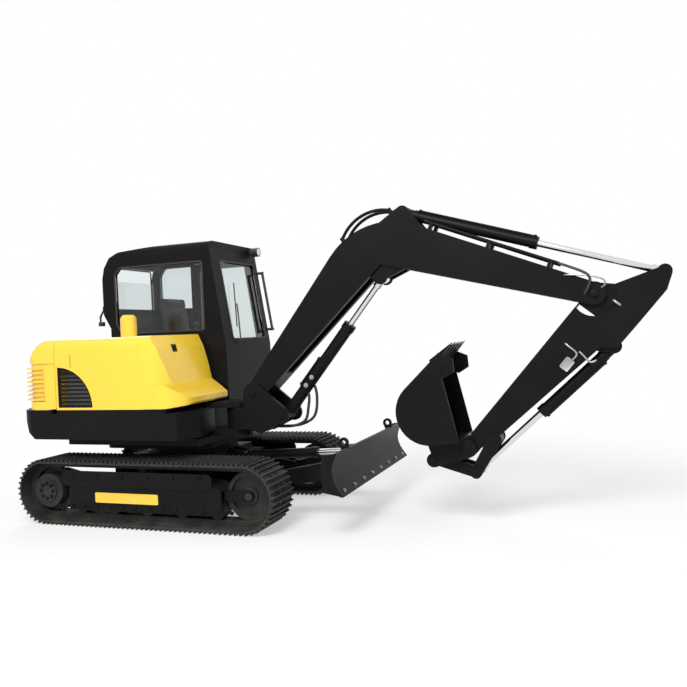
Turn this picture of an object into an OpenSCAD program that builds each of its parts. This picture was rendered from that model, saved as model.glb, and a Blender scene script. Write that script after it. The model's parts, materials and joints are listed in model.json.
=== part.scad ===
// Compact crawler excavator with a swing boom, a dozer blade and a closed cab.
// Millimetres, +X forward, +Y to the left, +Z up, standing on Z = 0.

/* [Undercarriage] */
// Length over the tracks
track_len = 2600; // [2400:10:2800]
// Height of the track loop, grouser tip to grouser tip
track_h = 590; // [540:5:640]
// Width of a track shoe
shoe_w = 400; // [350:10:450]
// Distance between the middles of the tracks
gauge = 1480; // [1400:10:1560]
// Track shoes on one loop
shoe_count = 40; // [36:1:44]
// Height of a grouser bar
grouser_h = 22; // [14:1:28]
// Thickness of a shoe plate
shoe_t = 14; // [10:1:20]
// Height of the chain links under the shoes
link_h = 52; // [44:1:60]
// Width of the chain links
link_w = 130; // [110:2:150]
// Height of the slew ring's upper face
slew_z = 690; // [670:5:710]
// Radius of the slew ring
slew_r = 400; // [360:5:440]

/* [Blade] */
// Blade tip ahead of the slew axis
blade_x = 1895; // [1850:5:1950]
// Cutting edge above the ground
blade_z = 350; // [300:5:380]
// Height of the blade
blade_h = 340; // [300:5:350]
// Width of the blade
blade_w = 1880; // [1880:5:1920]
// Blade pivot ahead of the slew axis
blade_pivot_x = 930; // [900:5:960]
// Blade pivot above the ground
blade_pivot_z = 330; // [310:5:350]

/* [Upper structure] */
// Tail radius about the slew axis
tail_r = 1500; // [1440:10:1560]
// Half width of the upper structure
upper_hw = 925; // [900:5:935]
// Underside of the counterweight and skirts
skirt_z = 770; // [750:5:790]
// Underside of the yellow covers
cover_z = 1035; // [1020:5:1050]
// Top of the covers
hood_z = 1665; // [1620:5:1700]
// Seam between the rear hood and the side cover, behind the slew axis
seam_x = 830; // [820:2:840]
// Wall of the covers
cover_t = 22; // [12:1:30]

/* [Cab] */
// Rear of the cab behind the slew axis
cab_rear = 950; // [920:5:960]
// Front of the cab ahead of the slew axis, at the floor
cab_front = 445; // [420:5:450]
// Roof's front edge ahead of the slew axis
roof_front = 297; // [270:5:320]
// Right side of the cab, right of the slew axis
cab_right = 50; // [40:2:60]
// Top of the cab floor
cab_floor_z = 1040; // [1030:5:1060]
// Top of the roof
roof_z = 2560; // [2520:5:2600]
// Thickness of the cab walls
cab_t = 45; // [36:1:55]

/* [Boom] */
// Sideways place of the boom, right of the slew axis
boom_y = 200; // [190:2:210]
// Swing axis ahead of the slew axis
swing_x = 620; // [615:1:630]
// Boom foot ahead of the slew axis
foot_x = 850; // [840:1:860]
// Boom foot above the ground
foot_z = 1110; // [1100:1:1120]
// Boom length, foot pin to arm pin
boom_len = 2998; // [2900:2:3100]
// Boom's angle at rest
boom_angle = 13.9; // [12:0.1:16]
// Width of the boom
boom_w = 240; // [220:2:244]
// Depth of the boom at the knee, as the radius of its back
knee_r = 645; // [600:5:680]

/* [Arm and bucket] */
// Arm length, boom pin to bucket pin
arm_len = 1561; // [1500:1:1620]
// Arm's direction at rest, from its boom pin
arm_angle = 229.7; // [226:0.1:234]
// Width of the arm
arm_w = 200; // [180:2:200]
// Width of the bucket
bucket_w = 650; // [560:5:720]
// Bucket radius, pin to tooth tip
bucket_r = 865; // [820:5:900]
// Bucket's direction at rest, pin to tooth tip
bucket_angle = 94; // [90:0.5:98]
// Teeth on the lip
tooth_count = 5; // [3:1:6]

/* [Pins and cylinders] */
// Radius of the large pins
pin_r = 32; // [28:1:34]
// Running clearance of a pin in its bore
pin_gap = 0.3; // [0.2:0.05:0.4]
// Side clearance between an eye and its ear
side_gap = 3; // [2:0.5:4]
// Barrel radius of the boom cylinder
boom_cyl_r = 52; // [46:1:54]
// Barrel radius of the arm cylinder
arm_cyl_r = 46; // [40:1:50]
// Barrel radius of the bucket cylinder
bucket_cyl_r = 44; // [38:1:48]
// Barrel radius of the blade cylinder
blade_cyl_r = 45; // [40:1:50]
// Rod radius of the cylinders
rod_r = 27; // [24:1:30]

/* [Hidden] */
$fn = 48;

// Boom, arm and bucket pins as [x, z] in the plane of the boom
foot = [foot_x, foot_z];
boom_cyl_foot = foot + [270, -198];
function turned(p, a) = [p[0] * cos(a) - p[1] * sin(a), p[0] * sin(a) + p[1] * cos(a)];
function on_boom(p) = foot + turned(p, boom_angle);
boom_tip = on_boom([boom_len, 0]);
knee = [1445, 437];
boom_rod_eye = [1411, 640];
arm_cyl_foot = [1740, 1099];
function on_arm(p) = boom_tip + turned(p, arm_angle);
arm_tip = on_arm([arm_len, 0]);
arm_rod_eye = [-430, 290];
bucket_cyl_foot = [225, 361];
rocker_pivot = [arm_len - 196, 122];
bucket_pin = arm_tip;
function on_bucket(p) = bucket_pin + turned(p, bucket_angle);
link_pin = [-76, 281];
link_pin_xz = on_bucket(link_pin);
rocker_end = on_arm(rocker_pivot) + [-160, -270];

// Sideways layers of the bucket linkage
rod_eye_w = 110;
link_hw = 90;
rocker_y = 114;
rocker_t = 18;
bucket_ear_y = 146;
bucket_ear_t = 26;

// Track loop
track_r = track_h / 2;
track_c = track_len / 2 - track_r;
plate_r = track_r - grouser_h;
run = 2 * track_c;
bend = PI * plate_r;
loop_len = 2 * run + 2 * bend;
shoe_pitch = loop_len / shoe_count;
chain_in = plate_r - shoe_t - link_h;
chain_z = track_r - chain_in;
rail_hw = 125;

cab_left = upper_hw - 20;

// Overall reach, and the shift that puts the origin at the middle of the footprint
rod_boss = 52;
reach = on_arm(arm_rod_eye)[0] + rod_boss;
origin_x = (reach - tail_r) / 2;

black = [0.09, 0.09, 0.1];
yellow = [0.96, 0.74, 0.12];
steel = [0.62, 0.63, 0.65];
glass = [0.45, 0.5, 0.52, 0.5];
grey = [0.35, 0.36, 0.38];

module framed() translate([-origin_x, 0, 0]) children();

// A side profile in [x, z], spread over a width about y
module side(y, w) translate([0, y + w / 2, 0]) rotate([90, 0, 0]) linear_extrude(w) children();

// A round bar across the machine at p = [x, z]
module across(p, y, w, r) translate([p[0], y + w / 2, p[1]]) rotate([90, 0, 0]) cylinder(h = w, r = r);

// A plate with two round ends, as a side profile
module strap(a, ra, b, rb) {
    d = b - a;
    n = norm(d);
    base = atan2(d[1], d[0]);
    tilt = acos((ra - rb) / n);
    up = [cos(base + tilt), sin(base + tilt)];
    down = [cos(base - tilt), sin(base - tilt)];
    polygon([a + ra * up, a + ra * down, b + rb * down, b + rb * up]);
    translate(a) circle(ra);
    translate(b) circle(rb);
}

// A straight round bar between two points in space
module bar(a, b, r) {
    d = b - a;
    translate(a)
        rotate([0, acos(d[2] / norm(d)), atan2(d[1], d[0])])
            cylinder(h = norm(d), r = r);
}

// A box given by its two corners
module block(a, b) translate(a) cube(b - a);

// Cylinder barrel from its foot eye towards the rod's eye, gland included
module barrel(a, b, y, length, r, eye_w, eye_r, pin) {
    d = b - a;
    dir = [d[0], 0, d[1]] / norm(d);
    from = [a[0], -y, a[1]];
    gland = 60;
    difference() {
        union() {
            bar(from + dir * (eye_r - 8), from + dir * length, r);
            bar(from + dir * (length - gland), from + dir * length, r + 6);
            bar(from + dir * 2 * eye_r, from + dir * (2 * eye_r + 30), r + 4);
            across(a, -y, eye_w, eye_r);
        }
        bar(from + dir * (eye_r + 40), from + dir * (length + 1), rod_r + pin_gap);
        across(a, -y, eye_w + 2, pin + pin_gap);
    }
}

// Rod inside its barrel with an eye at its end
module rod(a, b, y, start, eye_w, eye_r) {
    d = b - a;
    dir = [d[0], 0, d[1]] / norm(d);
    from = [a[0], -y, a[1]];
    bar(from + dir * start, from + dir * (norm(d) - eye_r + 6), rod_r);
    bar(from + dir * (norm(d) - eye_r - 46), from + dir * (norm(d) - eye_r + 8), rod_r + 10);
    across(b, -y, eye_w, eye_r);
}

// Place and outward direction along the track loop
function loop_frame(s) =
    let (t = s - loop_len * floor(s / loop_len))
    t < run ? [[-track_c + t, plate_r], [0, 1]] :
    t < run + bend ? let (a = 90 - (t - run) / bend * 180)
        [[track_c, 0] + plate_r * [cos(a), sin(a)], [cos(a), sin(a)]] :
    t < 2 * run + bend ? [[track_c - (t - run - bend), -plate_r], [0, -1]] :
    let (a = 270 - (t - 2 * run - bend) / bend * 180)
        [[-track_c, 0] + plate_r * [cos(a), sin(a)], [cos(a), sin(a)]];
function loop_point(s, h) = let (f = loop_frame(s)) f[0] + h * f[1];

// One shoe's outer edge: a seam, then three grouser bars
function shoe_edge(s) = concat(
    [loop_point(s - 5, 0), loop_point(s, -9), loop_point(s + 5, 0)],
    [for (i = [1, 3, 5], p = [[-9, 0], [-5, grouser_h], [5, grouser_h], [9, 0]])
        loop_point(s + i * shoe_pitch / 6 + p[0], p[1])]);

module stadium(r) {
    translate([-track_c, -r]) square([run, 2 * r]);
    for (e = [-1, 1]) translate([e * track_c, 0]) circle(r, $fn = 40);
}

module track_loop(y) {
    difference() {
        side(y, shoe_w) translate([0, track_r])
            polygon([for (k = [0 : shoe_count - 1]) each shoe_edge(k * shoe_pitch)]);
        side(y, shoe_w + 2) translate([0, track_r]) stadium(plate_r - shoe_t);
    }
    side(y, link_w) translate([0, track_r]) difference() {
        stadium(plate_r - shoe_t + 2);
        stadium(chain_in);
    }
}

module track_right() color(grey) framed() track_loop(-gauge / 2);
module track_left() color(grey) framed() track_loop(gauge / 2);

// Rollers under one track frame, evenly spread
roller_r = 72;
roller_count = 5;
roller_span = 2 * track_c - 610;
function roller_x(i) = -roller_span / 2 + i * roller_span / (roller_count - 1);
roller_z = chain_z + roller_r + 0.3;
carrier_r = 48;
carrier_z = track_h - chain_z - carrier_r - 0.3;
rail_top = 395;
rail_low = 130;
rail_plate = 20;
rail_end = track_c - 225;
guard_end = rail_end - 160;
yoke_z = track_r;
yoke_h = 90;
idler_hw = 40;
idler_axle_r = 30;

module track_frame(s) {
    y = s * gauge / 2;
    difference() {
        union() {
            side(y, 2 * rail_hw) polygon([[-rail_end, rail_low], [rail_end, rail_low],
                [rail_end, yoke_z + yoke_h / 2], [rail_end - 120, rail_top], [-rail_end + 60, rail_top],
                [-rail_end, rail_top - 70]]);
            for (e = [-1, 1])
                side(y + e * (idler_hw + 20), 24)
                    strap([rail_end - 40, yoke_z], yoke_h / 2, [track_c, yoke_z], yoke_h / 2);
            // Outer guard plate with its sloped ends
            side(y + s * 4, 2 * rail_hw) polygon([[-guard_end, 195], [guard_end, 195], [guard_end - 60,
                310],
                [-guard_end + 60, 310]]);
        }
        // Open underside, where the rollers sit
        translate([-rail_end - 1, y - rail_hw + rail_plate, 0])
            cube([2 * rail_end + 2, 2 * (rail_hw - rail_plate), rail_top - 65]);
        for (e = [-1, 1]) across([track_c, yoke_z], y + e * (idler_hw + 20), 30, idler_axle_r + pin_gap);
    }
    // Final drive's carrier plate, on the inner side
    side(y - s * (rail_hw - 20), 40) difference() {
        strap([-rail_end + 60, track_r], 100, [-track_c, track_r], 165);
        translate([-track_c, track_r]) circle(90);
    }
    // Carrier roller's bracket
    side(y - s * (link_w / 2 + 30), 22) translate([-90, rail_top - 2])
        square([100, carrier_z - rail_top + 30]);
}

module track_frame_right() color(black) framed() track_frame(-1);
module track_frame_left() color(black) framed() track_frame(1);

sprocket_teeth = 21;
module sprocket(s) {
    y = s * gauge / 2;
    r = chain_in - 0.3;
    side(y, 46) translate([-track_c, track_r]) difference() {
        circle(r);
        for (i = [0 : sprocket_teeth - 1])
            rotate(i * 360 / sprocket_teeth) translate([r + 4, 0]) circle(19, $fn = 16);
    }
    across([-track_c, track_r], y + s * 75, 110, 150);
    across([-track_c, track_r], y + s * 140, 30, 95);
    across([-track_c, track_r], y - s * 100, 155, 89.7);
    across([-track_c, track_r], y - s * 190, 40, 110);
}
module sprockets() color(black) framed() for (s = [-1, 1]) sprocket(s);

module idler(s) {
    y = s * gauge / 2;
    translate([track_c, y, track_r]) rotate([90, 0, 0]) rotate_extrude($fn = 64) {
        translate([chain_in - 34, -link_w / 2 + 20]) square([33.7, link_w - 40]);
        translate([60, -14]) square([chain_in - 80, 28]);
        translate([0, -idler_hw + 1]) square([68, 2 * idler_hw - 2]);
    }
    across([track_c, track_r], y, 2 * idler_hw + 64, idler_axle_r);
}
module idlers() color(black) framed() for (s = [-1, 1]) idler(s);

module track_rollers() color(black) framed() for (s = [-1, 1]) {
    y = s * gauge / 2;
    for (i = [0 : roller_count - 1]) {
        across([roller_x(i), roller_z], y, 120, roller_r);
        across([roller_x(i), roller_z], y, 2 * (rail_hw - rail_plate), 24);
    }
    across([-40, carrier_z], y, 110, carrier_r);
    across([-40, carrier_z], y - s * 20, 120, 20);
}

// Middle of the undercarriage: a box with four legs and the blade's lugs
frame_top = 560;
lug_y = 330;
lug_t = 30;
push_w = 80;
module centre_frame() color(black) framed() {
    difference() {
        union() {
            block([-430, -400, 330], [430, 400, frame_top]);
            for (sx = [-1, 1], sy = [-1, 1])
                block([sx * 330 - 130, min(sy * 390, sy * (gauge / 2 - rail_hw)), 250],
                    [sx * 330 + 130, max(sy * 390, sy * (gauge / 2 - rail_hw)), 470]);
            translate([0, 0, frame_top - 1]) cylinder(h = 61, r = slew_r + 30);
            for (sy = [-1, 1]) {
                block([400, sy * lug_y - 95, 260], [780, sy * lug_y + 95, 440]);
                for (e = [-1, 1])
                    side(sy * lug_y + e * (push_w / 2 + side_gap + lug_t / 2), lug_t)
                        strap([760, blade_pivot_z + 10], 85, [blade_pivot_x, blade_pivot_z], 65);
                across([blade_pivot_x, blade_pivot_z], sy * lug_y, push_w + 2 * (lug_t + side_gap), pin_r);
            }
            for (e = [-1, 1])
                side(e * (45 + side_gap + 12), 24) strap([430, 480], 90, blade_cyl_base, 55);
            across(blade_cyl_base, 0, 2 * (45 + side_gap + 24), 26);
            // Towing lug at the rear
            side(0, 40) strap([-420, 440], 80, [-520, 440], 60);
        }
        translate([0, 0, 400]) cylinder(h = 300, r = 250);
        across([-520, 440], 0, 60, 25);
    }
}
blade_cyl_base = [560, 490];
blade_cyl_eye = [blade_x - 255, blade_z + 205];

module slew_ring() color(steel) framed() difference() {
    union() {
        translate([0, 0, frame_top + 60]) cylinder(h = slew_z - frame_top - 60, r = slew_r);
        translate([0, 0, frame_top + 60]) cylinder(h = 40, r = slew_r + 22);
    }
    translate([0, 0, frame_top]) cylinder(h = 300, r = slew_r - 110);
}

// Dozer blade: a dished mouldboard on two push arms
blade_dish = 70;
blade_lean = 40;
blade_skin = 22;
function blade_face(t) = [blade_x - blade_lean * t - blade_dish * sin(180 * t), blade_z + blade_h * t];
lash_y = 620;
lash_t = 24;
lash_r = 20;
lash_eye = blade_face(1) + [-58, 34];
module blade() color(black) framed() {
    n = 10;
    face = [for (i = [0 : n]) blade_face(i / n)];
    difference() {
        union() {
            side(0, blade_w) polygon(concat(face,
                [for (i = [n : -1 : 0]) face[i] - [blade_skin + (i == 0 ? 6 : 0), 0]]));
            // End plates close the back of the dish
            for (s = [-1, 1])
                side(s * (blade_w / 2 - 8), 16) polygon(concat(face,
                    [[blade_x - 170, blade_z + blade_h - 20], [blade_x - 170, blade_z + 30]]));
            // Back beam
            side(0, blade_w - 32) polygon([blade_face(0.28) - [10, 0], blade_face(0.68) - [10, 0],
                [blade_x - 185, blade_z + 215], [blade_x - 185, blade_z + 95]]);
            for (s = [-1, 1])
                side(s * lug_y, push_w) {
                    strap([blade_pivot_x, blade_pivot_z], 62, [blade_x - 330, blade_z + 90], 75);
                    polygon([[blade_x - 330, blade_z + 165], [blade_x - 330, blade_z + 15],
                        [blade_x - 120, blade_z + 20], [blade_x - 120, blade_z + 240]]);
                }
            for (e = [-1, 1])
                side(e * (35 + side_gap + 12), 24) polygon([[blade_x - 150, blade_z + 270],
                    blade_cyl_eye + [-45, 45], blade_cyl_eye + [-45, -40], [blade_x - 150, blade_z + 110]]);
            // Lashing lugs on the upper edge
            for (s = [-1, 1])
                side(s * lash_y, lash_t) {
                    translate(lash_eye) circle(42);
                    polygon([lash_eye + [36, 20], blade_face(1) - [8, 4], blade_face(0.75) - [12, 0],
                        lash_eye - [40, 12]]);
                }
        }
        for (s = [-1, 1]) {
            across([blade_pivot_x, blade_pivot_z], s * lug_y, push_w + 2, pin_r + pin_gap);
            across(lash_eye, s * lash_y, lash_t + 4, lash_r);
        }
    }
}
blade_barrel_len = 760;
module blade_cylinder() color(black) framed()
    barrel(blade_cyl_base, blade_cyl_eye, 0, blade_barrel_len, blade_cyl_r, 2 * blade_cyl_r - 6, 48, 26);
module blade_rod() color(steel) framed()
    rod(blade_cyl_base, blade_cyl_eye, 0, 300, 70, 42);

// Outline of the upper structure seen from above
tail_corner = 150;
module tail_plan(inset, back = 0) {
    hw = upper_hw - inset;
    r = tail_r - inset - back;
    intersection() {
        circle(r, $fn = 160);
        union() {
            translate([-r, -hw + tail_corner]) square([2 * r, 2 * (hw - tail_corner)]);
            translate([-r * cos(asin((hw - tail_corner) / (r - tail_corner))) + tail_corner * 0.85, -hw])
                square([2 * r, 2 * hw]);
            for (s = [-1, 1])
                translate([-(r - tail_corner) * cos(asin((hw - tail_corner) / (r - tail_corner))),
                    s * (hw - tail_corner)]) circle(tail_corner);
        }
    }
}

weight_front = 885;
rim_h = 62;
rim_x = [1120, 1310];
module rim_profile(gap) polygon([[-tail_r - 50, cover_z - 10], [-tail_r - 50, cover_z + rim_h + gap],
    [-rim_x[1], cover_z + rim_h + gap], [-rim_x[0], cover_z - seat_gap + gap], [-rim_x[0], cover_z - 10]]);
module counterweight() color(black) framed() {
    difference() {
        translate([0, 0, skirt_z]) linear_extrude(cover_z - skirt_z - seat_gap) tail_plan(0);
        translate([-weight_front, -2000, 0]) cube([4000, 4000, 3000]);
        // Hollow towards the engine
        translate([-1370, -520, skirt_z + 60]) cube([900, 1040, 400]);
        // Lower edge drawn in towards the ground
        rotate_extrude($fn = 120) polygon([[tail_r - 75, skirt_z - 1], [tail_r - 25, skirt_z + 60],
            [tail_r + 5, skirt_z + 200], [tail_r + 100, skirt_z + 200], [tail_r + 100, skirt_z - 1]]);
    }
    // Raised rim that the hood's tail closes on
    intersection() {
        side(0, 3000) rim_profile(0);
        translate([0, 0, cover_z - 10]) linear_extrude(200) difference() {
            tail_plan(6, hood_back);
            tail_plan(44, hood_back);
        }
    }
}

// Deck, skirts and the lugs that hold the swing post
deck_low = slew_z + 0.5;
deck_top = 1000;
swing_lug_r = 150;
lug_in = boom_y - cab_right - 5;
deck_front = 440;
wall_x = cab_rear - 79;
wall_t = 12;
hinge_x = 910;
hinge_z = hood_z - 12;
hinge_ys = [60, upper_hw - 165];
seat_gap = 0.3;
post_gap = 4;
post_low = 790;
post_top = 980;
swing_pin_r = 55;
module upper_frame() color(black) framed() {
    difference() {
        union() {
            // Bottom plate over the slew ring
            translate([0, 0, deck_low]) linear_extrude(60) intersection() {
                tail_plan(120);
                translate([-900, -700]) square([1400, 1400]);
            }
            // Main deck with its skirts
            translate([0, 0, skirt_z]) linear_extrude(deck_top - skirt_z) intersection() {
                tail_plan(0);
                polygon([[-weight_front + 0.3, -upper_hw], [deck_front - 20, -upper_hw],
                    [deck_front + 80, -upper_hw + 220],
                    [deck_front, -boom_y - 125], [deck_front, upper_hw], [-weight_front + 0.3, upper_hw]]);
            }
            // Raised sill under the side cover
            translate([0, 0, deck_top - 1]) linear_extrude(cover_z - deck_top + 1) intersection() {
                difference() {
                    side_plan(nose_low, 0);
                    side_plan(nose_low, 60);
                }
                tail_plan(0);
                translate([-weight_front + 0.3, -2000]) square([weight_front + nose_up - 10, 2000]);
            }
            // Firewall behind the cab, with the hood's hinge lugs
            block([-wall_x - wall_t, -cover_in + 30, deck_top - 1], [-wall_x, cab_left - 20, hood_z - 20]);
            for (y = hinge_ys)
                side(y, 24) strap([-wall_x - 8, hinge_z - 30], 8, [-hinge_x, hinge_z], 13);
            for (y = hinge_ys)
                across([-hinge_x, hinge_z], y, 90, 6);
            // Swing lugs
            for (z = [post_low - post_gap - 60, post_top + post_gap])
                translate([0, -boom_y, z]) linear_extrude(z < 900 ? 60 : 50) {
                    translate([swing_x, 0]) circle(swing_lug_r - 20);
                    polygon([[380, -190], [swing_x, -swing_lug_r + 20], [swing_x, swing_lug_r - 20],
                        [380, lug_in]]);
                }
            translate([swing_x, -boom_y, post_low - post_gap - 60])
                cylinder(h = post_top - post_low + 2 * post_gap + 110, r = swing_pin_r);
        }
        // Hollow inside the deck
        translate([-weight_front + 40, -upper_hw + 30, skirt_z + 12])
            cube([weight_front + 330, 2 * upper_hw - 60, deck_top - skirt_z - 32]);
        translate([0, 0, deck_low - 1]) cylinder(h = 100, r = 220);
    }
}

// Hood over the engine, hinged behind the cab at its top front edge
hood_gap = 6;
hood_front = hinge_x + 14;
hood_back = 44;
cover_round = 90;
dome_w = 190;
dome_h = 265;
band_x = seam_x + 125;
band_low = cover_z + rim_h + 12;
band_top = 1455;
fin_count = 8;
fin_t = 13;
dip_back = 30;
dip_h = 10;
// The hood's top falls away to the tail, all round the slew axis
module hood_dome(inset) rotate_extrude($fn = 120) polygon(concat([[0, 0],
    [tail_r - hood_back - 4 - inset, 0]],
    [for (a = [0 : 5 : 90]) [tail_r - hood_back - 4 - dome_w + (dome_w - inset) * cos(a),
        hood_z - dome_h + (dome_h - inset) * sin(a)]],
    [[0, hood_z - inset]]));
// Cross section of the covers, with rounded shoulders
module cover_section(inset) translate([-2000, 0, 0]) rotate([90, 0, 90]) linear_extrude(4000) {
    hw = upper_hw - 6 - inset;
    polygon(concat([for (a = [0 : 9 : 90]) [hw - cover_round, hood_z - cover_round]
            + [cover_round * cos(a), (cover_round - inset) * sin(a)]],
        [for (a = [90 : 9 : 180]) [cover_round - hw, hood_z - cover_round]
            + [cover_round * cos(a), (cover_round - inset) * sin(a)]],
        [[-hw, 0], [hw, 0]]));
}
// The same round on one side only, drawn past the flat faces so that it crosses them
module shoulder(inset) translate([-2000, 0, 0]) rotate([90, 0, 90]) linear_extrude(4000) {
    middle = [cover_round + 6 - upper_hw, hood_z - cover_round];
    r = cover_round - inset + shoulder_over;
    polygon(concat([for (a = [90 : 9 : 180]) middle + r * [cos(a), sin(a)]],
        [[middle[0] - r, 0], [upper_hw, 0], [upper_hw, middle[1] + r]]));
}
// The hood's front edge steps back behind the cab
module hood_plan(inset) difference() {
    tail_plan(6 + inset, hood_back);
    if (inset == 0) {
        translate([-seam_x - hood_gap / 2, -2000]) square([4000, 4000]);
        translate([-hood_front, -cover_in]) square([4000, 4000]);
    }
}
module hood_form(inset) intersection() {
    translate([0, 0, cover_z - inset]) linear_extrude(900) hood_plan(inset);
    hood_dome(inset);
    cover_section(inset);
}
// A ring round the tail between two insets, behind x
module tail_ring(outer, outer_back, inner, x) difference() {
    tail_plan(outer, outer_back);
    tail_plan(inner, hood_back);
    translate([-x, -2000]) square([4000, 4000]);
}
module rear_hood() color(yellow) framed() {
    difference() {
        hood_form(0);
        hood_form(cover_t);
        side(0, 3000) rim_profile(seat_gap);
        // Relief under the front corner, which dips as the hood opens
        side(0, 3000) polygon([[-hinge_x - dip_back, cover_z - 1], [-hinge_x - dip_back, cover_z],
            [-seam_x, cover_z + dip_h], [-seam_x, cover_z - 1]]);
        // Band for the louvres, and the groove that leads to it
        translate([0, 0, band_low]) linear_extrude(band_top - band_low) tail_ring(-30, -30, 20, band_x);
        translate([0, 0, band_top - 18]) linear_extrude(18) tail_ring(-30, -30, 16, seam_x);
    }
    pitch = (band_top - 24 - band_low) / fin_count;
    for (i = [0 : fin_count - 1])
        translate([0, 0, band_low + pitch * (i + 0.5) - fin_t / 2]) linear_extrude(fin_t)
            tail_ring(0.5, hood_back - 24, 22, band_x + 4);
    // Hinge knuckles beside the firewall's lugs
    for (y = hinge_ys)
        side(y + 28, 26) difference() {
            strap([-hood_front - 10, hood_z - 12], 10, [-hinge_x, hinge_z], 12);
            translate([-hinge_x, hinge_z]) circle(6 + pin_gap);
        }
}

// Cover over the tanks, right of the cab: a tall part, and a low nose in front of it
cover_in = cab_right + 45;
nose_up = 310;
nose_low = 457;
nose_r = 240;
nose_top = 1240;
nose_in = 2;
shoulder_over = 0.8;
module side_plan(front, inset) polygon(concat([[-seam_x + hood_gap / 2 + inset, -cover_in - inset],
    [-seam_x + hood_gap / 2 + inset, -upper_hw + inset + 6]],
    [for (a = [270 : 7.5 : 360]) [front - nose_r, -upper_hw + 6 + nose_r] + (nose_r - inset) * [cos(a),
        sin(a)]],
    [[front - inset, -cover_in - inset]]));
module upper_profile(inset) polygon([[-seam_x, cover_z - inset], [nose_up + 20 - inset, cover_z - inset],
    [296 - inset, nose_top - 5], [261 - inset, 1395], [215 - inset, 1558], [162 - inset, hood_z - inset],
    [-seam_x, hood_z - inset]]);
module nose_profile(inset) polygon(concat(
    inset > 0 ? [[-400, cover_z - inset - nose_in], [nose_up - 4 - inset, cover_z - inset - nose_in]]
        : [[-400, cover_z + nose_in]],
    [[nose_up - 4 - inset, cover_z + nose_in + inset], [440 - inset, cover_z + 20 + inset],
        [nose_low - inset, cover_z + 40 + inset], [nose_low - inset, 1115 - inset],
        [390 - inset, 1173 - inset], [296 - inset, nose_top - inset], [-400, nose_top - inset]]));
module side_form(inset) {
    intersection() {
        linear_extrude(3000) side_plan(nose_up, inset);
        side(-500, 3000) upper_profile(inset);
        shoulder(inset);
    }
    intersection() {
        linear_extrude(3000) side_plan(nose_low, inset + nose_in);
        side(-500, 3000) nose_profile(inset);
    }
}
// Quarter-round air intake at the cover's rear foot, drawn in by i
grille_at = [-seam_x + 24, cover_z + 20];
grille_w = 372;
grille_h = 362;
function grille_edge(i) = concat([grille_at + [i, i]],
    [for (a = [0 : 6 : 90]) grille_at + [i + (grille_w - 2 * i) * cos(a),
        i + (grille_h - 2 * i) * sin(a)]]);
// Latch pocket in the sloping front, across and up
latch_at = [-585, 1547];
latch_size = [92, 72];
latch_depth = 12;
module side_cover() color(yellow) framed() difference() {
    side_form(0);
    side_form(cover_t);
    side(-upper_hw, 4 * cover_t) polygon(grille_edge(0));
    // Slit above the intake
    side(-upper_hw, 4 * cover_t) translate([-660, 1415]) square([9, 115]);
    difference() {
        block([100, latch_at[0] - latch_size[0] / 2, latch_at[1] - latch_size[1] / 2],
            [400, latch_at[0] + latch_size[0] / 2, latch_at[1] + latch_size[1] / 2]);
        side(-500, 3000) upper_profile(latch_depth);
    }
}
slat_count = 9;
module side_grille() color(black) framed() side(-upper_hw + 6 + cover_t / 2, 10) difference() {
    polygon(grille_edge(seat_gap));
    intersection() {
        polygon(grille_edge(22));
        for (i = [0 : slat_count - 1])
            translate(grille_at + [0, 22 + i * (grille_h - 40) / slat_count]) square([grille_w, 20]);
    }
}

module engine() color(grey) framed() block([-1300, -400, skirt_z + 60.3], [-925, 440, 1450]);
module tank() color(grey) framed() block([-seam_x + 70, -upper_hw + 75, deck_top], [150, -300, 1500]);

exhaust_at = [-375, -430];
exhaust_r = 75;
exhaust_h = 205;
module exhaust() color(yellow) framed() translate([exhaust_at[0], exhaust_at[1], hood_z]) {
    cylinder(h = exhaust_h - 30, r = exhaust_r);
    translate([0, 0, exhaust_h - 31]) cylinder(h = 31, r1 = exhaust_r, r2 = exhaust_r - 22);
}

// Bent bar behind the cab's rear right corner
bracket_y = -cab_right + 22;
bracket_r = 10;
module rear_bracket() color(black) framed() {
    block([-cab_rear - 14, bracket_y - 18, 1940], [-cab_rear, bracket_y + 18, 1990]);
    bar([-cab_rear - 8, bracket_y, 1965], [-cab_rear - 60, bracket_y, 1885], bracket_r);
    translate([-cab_rear - 60, bracket_y, 1885]) sphere(bracket_r + 2);
    bar([-cab_rear - 60, bracket_y, 1885], [-cab_rear - 60, bracket_y, 1800], bracket_r);
    block([-cab_rear - 72, bracket_y - 20, 1790], [-cab_rear - 22, bracket_y + 20, 1832]);
}

// Cab outline seen from the side, moved in by i
roof_low = roof_z - 80;
sill_z = 1550;
cab_base = deck_top;
function cab_outline(i) = [[-cab_rear + 80 + i, cab_base], [-cab_rear + 80 + i, 1760], [-cab_rear + i,
    1900],
    [-cab_rear + i, roof_z - 300], [-cab_rear + 25 + i, roof_z - 190], [-cab_rear + 90 + i * 0.8,
        roof_z - 90 - i * 0.6],
    [-cab_rear + 200, roof_z - 38 - i], [-360, roof_z - 5 - i], [roof_front - i, roof_z - i],
    [roof_front - i, roof_low], [cab_front - 8 - i, sill_z], [cab_front - i, cab_base]];
function slope_x(z) = z < sill_z ? cab_front - 8 * (z - cab_base) / (sill_z - cab_base) :
    cab_front - 8 + (roof_front - cab_front + 8) * (z - sill_z) / (roof_low - sill_z);

// The height band of the cab's walls, between floor and roof
module wall_band() translate([-2000, cab_floor_z]) square([4000, roof_low - cab_floor_z]);
module cab_shape(i) intersection() {
    polygon(cab_outline(i));
    wall_band();
}

pillar = 62;
post_x = -430;

window_top = roof_low - 50;
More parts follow.
